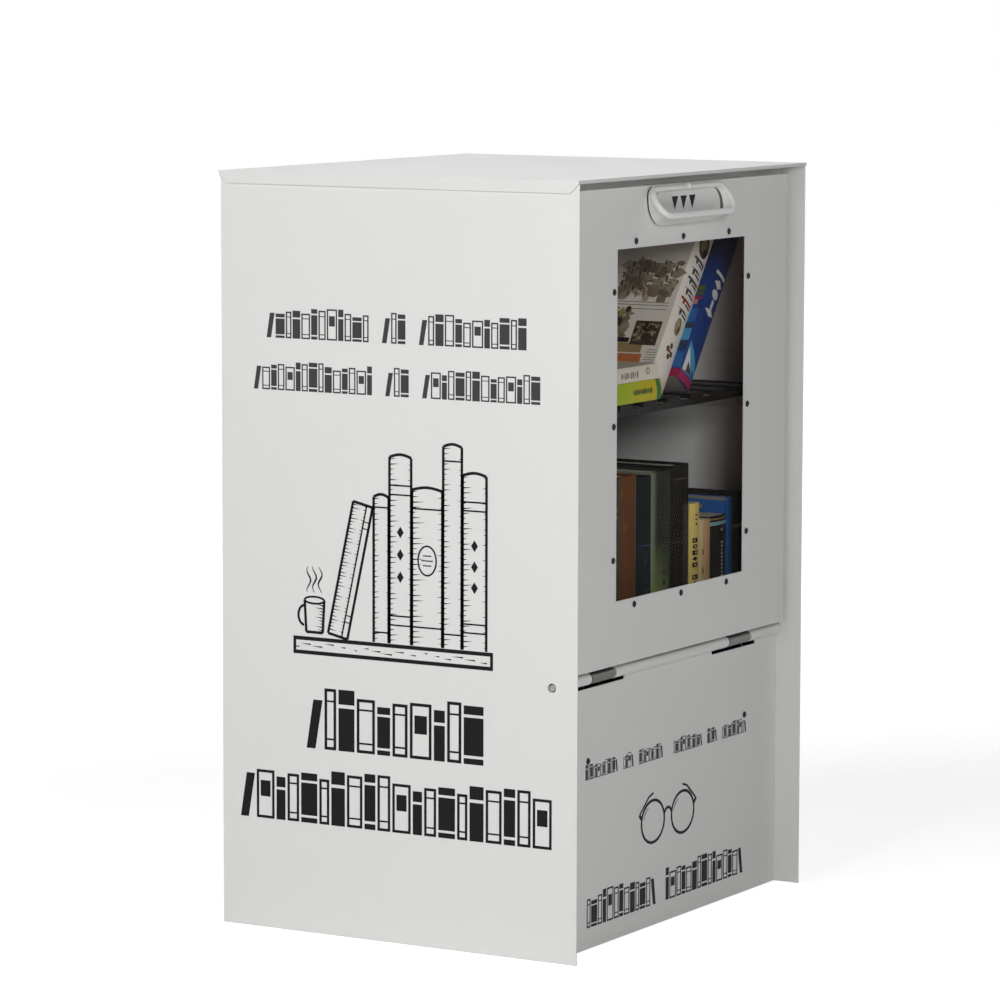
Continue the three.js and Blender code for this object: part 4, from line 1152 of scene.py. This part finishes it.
class Book:
    """One book in its own frame: spine at y = 0, thickness along X, height along Z, fore edge towards +Y."""

    def __init__(self, node, lie="standing", hard=True):
        low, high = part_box(node)
        size = high - low
        self.node = node
        self.hard = hard
        self.board = BOARD if hard else PAPER_COVER
        self.depth = size.y
        if lie == "standing":
            self.thickness, self.height = size.x, size.z
            self.matrix = Matrix.Translation(low)
        elif lie == "flat":
            self.thickness, self.height = size.z, size.x
            self.matrix = Matrix.Translation((high.x, low.y, low.z)) @ Matrix.Rotation(-math.pi / 2, 4, "Y")
        else:
            c, s = math.cos(LEAN_ANGLE), math.sin(LEAN_ANGLE)
            self.thickness = (size.x * c - size.z * s) / (c * c - s * s)
            self.height = (size.z * c - size.x * s) / (c * c - s * s)
            origin = Vector((low.x, low.y, low.z + self.thickness * s))
            self.matrix = Matrix.Translation(origin) @ Matrix.Rotation(LEAN_ANGLE, 4, "Y")
        self.round = self.thickness * SPINE_ROUND_SHARE
        self.inks = []
        self.ink = bmesh.new()

    def spine_y(self, x):
        share = min(max(x / self.thickness, 0), 1)
        return self.round * ((1 - share) ** 2 - 2 * share * (1 - share) + share**2)

    def on_spine(self, a, b, lift):
        """a across the spine and b up it, in metres."""
        return Vector((a, self.spine_y(a) - lift, b))

    def on_side(self, a, b, lift):
        """a behind the spine and b up, on the cover at x = 0."""
        return Vector((-lift, a, b))

    def face(self, side):
        """The place and the width of the cover at x = 0, or of the spine."""
        return (self.on_side, self.depth) if side else (self.on_spine, self.thickness)

    def columns(self, count, a0, a1, low, high, ink, level, side):
        """Ink from a0 to a1, in columns that follow the spine's curve. Its edges, low and high, are functions
        of the share of that way."""
        if ink not in self.inks:
            self.inks.append(ink)
        top = INK_TOP * (1 + INK_LEVEL_SHARE * level)
        for i in range(count):
            s0, s1 = i / count, (i + 1) / count
            near, far = a0 + (a1 - a0) * s0, a0 + (a1 - a0) * s1
            corners = [(near, low(s0)), (far, low(s1)), (far, high(s1)), (near, high(s0))]
            plate(self.ink, corners, self.face(side)[0], INK_LIFT, top, self.inks.index(ink))

    def wedge(self, u0, u1, low, high, ink, count=8, level=0, side=False):
        """Ink over shares u of a face's width, with the shares v of the height at both ends of its edges."""
        width = self.face(side)[1]
        edges = [lambda s, v=v: self.height * (v[0] + (v[1] - v[0]) * s) for v in (low, high)]
        self.columns(count, width * u0, width * u1, *edges, ink, level, side)

    def block(self, u0, u1, v0, v1, ink, count=8, side=False, slant=0):
        self.wedge(u0, u1, (v0, v0 + slant), (v1, v1 + slant), ink, count, 0, side)

    def mark(self, u, v, wide, high, ink, kind="diamond", level=1, side=False):
        """A small ornament: wide and high in millimetres, its centre at shares u and v."""
        a, half = self.face(side)[1] * u, wide * MM / 2
        edges = [
            lambda s, way=way: self.height * v + way * high * MM / 2 * MARK_SHAPES[kind](2 * s - 1)
            for way in (-1, 1)
        ]
        self.columns(MARK_COLUMNS, a - half, a + half, *edges, ink, level, side)

    def outline(self):
        """The covers' section: boards, joints and curved spine."""
        t, d, inner = self.thickness, self.depth, self.round + self.board
        left = [(0, d)]
        if self.hard:
            groove = ((1, 0), (0.5, GROOVE_SHARE), (0, 1), (-0.5, GROOVE_SHARE), (-1, 0))
            middle = self.round + GROOVE_PLACE
            left += [(GROOVE_DEPTH * deep, middle + GROOVE_HALF * along) for along, deep in groove]
        spine = [(t * i / SPINE_STEPS, self.spine_y(t * i / SPINE_STEPS)) for i in range(SPINE_STEPS + 1)]
        right = [(t - x, y) for x, y in reversed(left)]
        inside = [(t - self.board, d), (t - self.board, inner), (self.board, inner), (self.board, d)]
        return left + spine + right + inside

    def make(self, cover, pages):
        bevel = BOARD_EDGE_ROUND if self.hard else PAPER_EDGE_ROUND
        name, place = self.node, self.matrix
        bm = extruded(self.outline(), 0, self.height)
        finished(f"{name}_cover", bm, [cover.material], "cabinet", [name], place, bevel)
        bm = self.page_block()
        finished(f"{name}_pages", bm, [pages], "cabinet", matrix=place, bevel=PAGES_ROUND)
        if self.inks:
            used = [inks[ink] for ink in self.inks]
            finished(f"{name}_print", self.ink, used, "cabinet", matrix=place, smooth=False)

    def page_block(self):
        """The page block, with a hollow fore edge on a hard-cover book."""
        lip = BOARD_LIP if self.hard else PAPER_LIP
        dish = min(PAGES_DISH, self.thickness * PAGES_DISH_SHARE) if self.hard else 0
        near, far = self.board + PAGES_SIDE_GAP, self.depth - lip
        width = self.thickness - 2 * near
        start = self.round + self.board + PAGES_SPINE_GAP
        shares = [i / PAGES_STEPS for i in range(PAGES_STEPS + 1)]
        fore = [(near + width * s, far - dish * math.sin(math.pi * s)) for s in shares]
        return extruded([(near + width, start), (near, start)] + fore, lip, self.height - lip)


def printed(node, cover, blocks=(), marks=(), fades=(), lie="standing", hard=True, pages=pages_pale):
    """A book with what is printed on it. Blocks and marks hold the values of Book.block and Book.mark. A fade
    holds its colour, its share and its ramps: an axis and the shares of the book's size they run between."""
    book = Book(node, lie, hard)
    for block in blocks:
        book.block(*block)
    for mark in marks:
        book.mark(*mark)
    sizes = {"X": book.thickness, "Z": book.height}
    for colour, amount, *ramps in fades:
        for axis, low, high in ramps:
            ramp = cover.ramp(cover.axis(axis), sizes[axis] * low, sizes[axis] * high)
            amount = cover.product(amount, ramp)
        cover.tint(amount, colour)
    book.make(cover, pages)


# Standing books in plain cloth: colour, worn colour, slot, and the ink and heights of their bands
HARDBACKS = {
    "teal": ("#1f3d44", "#45605f", "cover_blue", "gold", [(0.82, 0.84), (0.12, 0.14)]),
    "red": ("#54201c", "#7a4338", "cover_maroon", "black", [(0.7, 0.86), (0.1, 0.12)]),
    "olive": ("#3a3d22", "#5d5c3c", "cover_green", "gold", [(0.9, 0.91), (0.86, 0.87), (0.1, 0.11)]),
    "charcoal": ("#1d1a1c", "#332c2c", "cover_charcoal", "umber", [(0.8, 0.82)]),
    "maroon": ("#24171a", "#3a2728", "cover_maroon", "umber", [(0.85, 0.87), (0.15, 0.17)]),
}
for book_name, (book_colour, worn_colour, book_slot, band_ink, bands) in HARDBACKS.items():
    printed(
        f"book_{book_name}", cloth(f"cover_{book_name}", book_colour, worn_colour),
        [(0.02, 0.98, low, high, band_ink) for low, high in bands], pages=pages_grey,
    )

printed(
    "book_grey", coated("cover_slate", "#3f4347"),
    [(0, 1, 0.78, 0.9, "red")], [(0.5, 0.2 + 0.08 * i, 9, 7, "white") for i in range(6)], hard=False,
)

# Rubbed brown cloth, darker along both edges, with tan ornaments near the head
printed(
    "book_brown", cloth("cover_brown", "#633a1f", "#79502e"),
    [(0, 0.1, 0, 1, "umber", 2), (0.9, 1, 0, 1, "umber", 2)]
    + [(0.16, 0.84, v, v + 0.004, "umber") for v in (0.86, 0.79, 0.2)],
    [
        (u, v, 1.8, 2.4, "tan", "oval", 2)
        for u, v in ((0.14, 0.925), (0.84, 0.93), (0.3, 0.765), (0.24, 0.75))
    ],
)

# Near-black cloth with faint blue rules and small marks
printed(
    "book_navy", cloth("cover_navy", "#0f1114", "#191e23"),
    [(0.1, 0.9, v, v + 0.003, "slate_blue") for v in (0.66, 0.655, 0.3)],
    [(0.5, 0.58 - 0.05 * i, 5, 4, "slate_blue", ("bar", "diamond")[i % 2]) for i in range(7)],
)

# A faded green spine, palest down its left edge and at its foot, with columns of dark ornaments
green_marks = []
for i in range(16):
    green_marks.append((0.56, 0.1 + 0.05 * i, 4, 6, "black", ("oval", "bar", "diamond")[i % 3], 2))
    if i % 4 != 3:
        green_marks.append((0.78, 0.09 + 0.05 * i, 3, 5, "black", "bar", 2))
printed(
    "book_green", cloth("cover_green", "#262a20", "#353d2d"), marks=green_marks,
    fades=[("#858b76", 0.85, ("X", 0.24, 0.04)), ("#8c9c62", 1, ("Z", 0.66, 0.3), ("X", 1.3, 0.2))],
)

# Black cloth with a purple-brown cast towards its right edge
printed(
    "book_black_tall", cloth("cover_black", "#120f0b", "#1f1a14"),
    [(0.55, 0.7, 0, 0.8, "soot", 2), (0.7, 0.85, 0, 0.8, "plum", 2), (0.85, 1, 0, 0.8, "soot", 2)]
    + [(0.08, 0.92, v, v + 0.004, "umber") for v in (0.93, 0.62, 0.3, 0.06)],
)

# Heavy black ornaments run down a pale yellow spine, below thinner ones near the head
yellow_marks = [(0.56, v, 7, 2.2, "umber") for v in (0.925, 0.9)] + [(0.56, 0.87, 4, 3, "black", "oval")]
for i in (*range(5), *range(6, 18)):
    yellow_marks.append((0.46, 0.77 - 0.038 * i, 11, 5, "black", ("bar", "oval", "bar", "diamond")[i % 4]))
    if i % 4 != 3:
        yellow_marks.append((0.46 + 0.08 * (i % 3 - 1), 0.77 - 0.038 * i, 4, 1.7, "straw", "bar", 2))
printed("book_yellow", coated("cover_yellow", "#e6cd74"), marks=yellow_marks, hard=False)

printed(
    "book_cream", coated("cover_cream", "#d8c190"),
    marks=[(0.5, 0.25 + 0.13 * i, 3.4, 9, "brick") for i in range(5)], hard=False,
)

# A pinkish tan spine whose lower half turns red-brown
printed(
    "book_tan", coated("cover_tan", "#c99e72"),
    [(0.05, 1, 0.02, 0.5, "brick", 4), (0.05, 1, 0.5, 0.56, "clay", 4)],
    [(0.5, 0.1 + 0.07 * i, 4, 7, "umber", ("diamond", "bar")[i % 2], 2) for i in range(6)], hard=False,
)

# A tan line and a pale bar near the head, a red dot, and a column of small white ornaments
small_black_marks = [(0.42, 0.968, 3, 2.4, "vermilion", "oval", 2), (0.64, 0.9, 3.4, 4, "white")]
for i in range(24):
    size = ((5, 1.6), (3.4, 2.6), (4.2, 1.4), (3, 2.4))[i % 4]
    small_black_marks.append((0.66, 0.81 - 0.026 * i, *size, "white", ("bar", "oval", "diamond")[i % 3]))
printed(
    "book_black_small", coated("cover_ink", "#100d0a"),
    [(0, 1, 0.975, 0.985, "tan"), (0, 1, 0.935, 0.96, "cyan")], small_black_marks, hard=False,
)

# Its side stands clear above the small books, with a short tan strip and a pale head edge
printed(
    "book_blue", coated("cover_blue", "#1f63b0"),
    [
        (0.02, 0.98, 0.98, 1, "mist", 4, True), (0.24, 0.46, 0.925, 0.945, "tan", 4, True),
        (0.02, 0.98, 0.77, 0.795, "umber", 4, True),
    ],
)

# Flat on the shelf: yellow-lime at the tail and greener towards the head, with a slanted dark green end
printed(
    "book_lime_flat", coated("cover_lime", "#d0b800"),
    [(0, 1, 0, 0.045, "deep_green", 8, False, 0.02)],
    [(0.5, 0.12 + 0.026 * i, 6, 5, "olive_dark", ("bar", "diamond", "oval")[i % 3]) for i in range(8)],
    [("#97b800", 1, ("Z", 0.08, 0.5))], "flat", False,
)

# Flat on the shelf: a row of thin grey marks and a small round one near the tail
printed(
    "book_white_flat", coated("cover_pale", "#e9dfcd"),
    marks=[
        (0.46, 0.24 + 0.022 * i, 7, (2.53, 1.65, 2.86)[i % 3], "shade", ("bar", "diamond", "oval")[i % 3])
        for i in range(9)
    ] + [(0.6, 0.12, 8, 8, "shade", "oval"), (0.6, 0.12, 5, 5, "white", "oval", 2)],
    lie="flat", hard=False,
)


# Leaning books
BLUE_PATCHES = [
    (0.02, 0.3, 0.045, 0.15, "mid_blue"), (0.02, 0.14, 0.12, 0.18, "slate_blue"),
    (0.1, 0.3, 0.15, 0.21, "mid_blue"), (0.02, 0.12, 0.18, 0.24, "sky"),
    (0.12, 0.2, 0.21, 0.25, "lavender"), (0.02, 0.1, 0.24, 0.27, "slate_blue"),
    (0.08, 0.2, 0.25, 0.33, "sky"), (0.02, 0.08, 0.27, 0.34, "mid_blue"),
    (0.08, 0.2, 0.33, 0.36, "lavender"), (0.05, 0.16, 0.36, 0.385, "rose"),
    (0.02, 0.1, 0.385, 0.4, "magenta"), (0.02, 0.14, 0.405, 0.425, "moss"),
    (0.02, 0.09, 0.43, 0.455, "olive_dark"), (0.08, 0.16, 0.44, 0.47, "moss"),
]


def book_blue_leaning():
    """A deep blue spine that darkens towards its head, partly its own cover art and partly painted shade,
    with bold white ornaments, a pale wedge at its foot and a crimson band round it."""
    book = Book("book_blue_leaning", "leaning", False)
    for v, kind, wide, high in (
        (0.55, "bar", 22, 4), (0.505, "diamond", 17, 11), (0.455, "oval", 15, 11), (0.405, "bar", 5, 10),
        (0.365, "diamond", 20, 9),
    ):
        book.mark(0.56, v, wide, high, "white", kind)
    for level, u0, u1, low, high, ink in (
        (0, 0.12, 0.95, (0.045, 0.05), (0.19, 0.1), "sky"),
        (1, 0.14, 0.6, (0.05, 0.055), (0.16, 0.06), "white"),
        (2, 0.3, 0.66, (0.05, 0.055), (0.1, 0.06), "umber"),
        (2, 0.7, 0.92, (0.05, 0.055), (0.09, 0.06), "slate_blue"),
    ):
        book.wedge(u0, u1, low, high, ink, level=level)
    book.block(0, 1, 0, 0.04, "magenta")
    book.block(0, 0.98, 0, 0.04, "magenta", 4, True)
    for patch in BLUE_PATCHES:
        book.block(*patch, 1, True)
    cover = coated("cover_deep_blue", "#16387e", 0.3)
    # part cover art, part painted shade: the spine turns towards a dark purple near its head
    cover.tint(cover.ramp(cover.axis("Z"), book.height * 0.47, book.height * 0.64), "#241a26", 0.85)
    book.make(cover, pages_grey)


# Steps from dab to dab: across, up, in size, in kind and in ink
SCATTER_STEPS = (0.754878, 0.569840, 0.4142, 0.3247, 0.6181)
SCATTER_START = 0.37
SCATTER_SIZES = (0.6, 0.9)
SCATTER_KINDS = ("oval", "diamond", "oval", "bar")


def scattered(book, field, count, sizes, colours, level):
    """Small overlapping dabs of ink over one field of the cover, as in a printed sketch."""
    u0, u1, v0, v1 = field
    for i in range(count):
        across, up, grow, kind, ink = ((i + SCATTER_START * level) * step % 1 for step in SCATTER_STEPS)
        wide, high = sizes[i * 7 // 3 % len(sizes)]
        size = SCATTER_SIZES[0] + SCATTER_SIZES[1] * grow
        book.mark(
            u0 + (u1 - u0) * across, v0 + (v1 - v0) * up, wide * size, high * size,
            colours[int(ink * len(colours))], SCATTER_KINDS[int(kind * len(SCATTER_KINDS))], level, True,
        )


# Of the pale leaning book: marks on its spine, and the fields of dabs and blocks on its side
SPINE_HEAD = [
    (0.52, 0.73, 23, 26, "umber", "oval"), (0.46, 0.735, 13, 16, "olive", "oval", 2),
    (0.62, 0.71, 9, 12, "soot", "diamond", 3),
]
SPINE_FOOT = [
    (0.5, 0.31, 13, 21, "olive", "oval"), (0.46, 0.315, 8, 14, "sand", "oval", 2),
    (0.54, 0.3, 4, 10, "umber", "diamond", 3),
    (0.36, 0.185, 6, 7, "umber", "oval"), (0.62, 0.175, 6, 7, "umber", "oval"),
    (0.5, 0.21, 6, 7, "umber", "oval"), (0.48, 0.155, 6, 7, "umber", "oval"),
    (0.48, 0.182, 5, 4, "red", "oval", 2),
]
SKETCH = (0.05, 0.5, 0.42, 0.6)
CORNER_SKETCH = (0.34, 0.56, 0.2, 0.36)
PANEL = (0.06, 0.27, 0.165, 0.29)
PANEL_FIELD = (0.08, 0.25, 0.18, 0.275)
SIDE_BARS = [
    (0.28, 0.6, 0.175, 0.2, "soot"), (0.16, 0.6, 0.125, 0.173, "tan"), (0.14, 0.6, 0.067, 0.118, "orange"),
]


def book_white_leaning():
    """A pale spine with large dark ornaments between ovals; a sketch, a panel and two bars on its side."""
    book = Book("book_white_leaning", "leaning", False)
    for mark in SPINE_HEAD:
        book.mark(*mark)
    for i in range(6):
        v = 0.655 - 0.053 * i
        ink = "red" if i == 4 else "slate"
        book.mark(0.53, v, 24, 3, ink, ("bar", "diamond")[i % 2])
        book.mark(0.36, v - 0.013, 4.4, 8, ink, ("diamond", "oval")[i % 2], 2)
        book.mark(0.66, v - 0.018, 13, 2.2, "slate", "bar", 2)
    for mark in SPINE_FOOT:
        book.mark(*mark)
    scattered(book, SKETCH, 60, ((13, 10), (8, 12), (10, 6), (5, 8)), ("sand", "dun", "parchment"), 1)
    scattered(book, SKETCH, 90, ((5, 2), (2, 5), (1.6, 6), (4, 1.6)), ("umber", "dun", "shade", "dun"), 2)
    for v in (0.385, 0.37, 0.35):
        book.block(0.06, 0.56, v, v + 0.003, "shade", 2, True)
    scattered(book, CORNER_SKETCH, 24, ((9, 12), (6, 6), (12, 7)), ("tan", "dun", "umber", "sand"), 1)
    book.block(*PANEL, "umber", 2, True)
    scattered(book, PANEL_FIELD, 44, ((4, 3), (2.4, 5), (2, 2)), ("sand", "dun", "soot", "tan", "soot"), 2)
    for bar in SIDE_BARS:
        book.block(*bar, 2, True)
    for i in range(8):
        book.block(0.03, 0.12 - 0.01 * (i % 3), 0.05 + 0.013 * i, 0.053 + 0.013 * i, "shade", 1, True)
    book.make(coated("cover_white", "#f4ebdf", 0.32), pages_pale)


book_blue_leaning()
book_white_leaning()
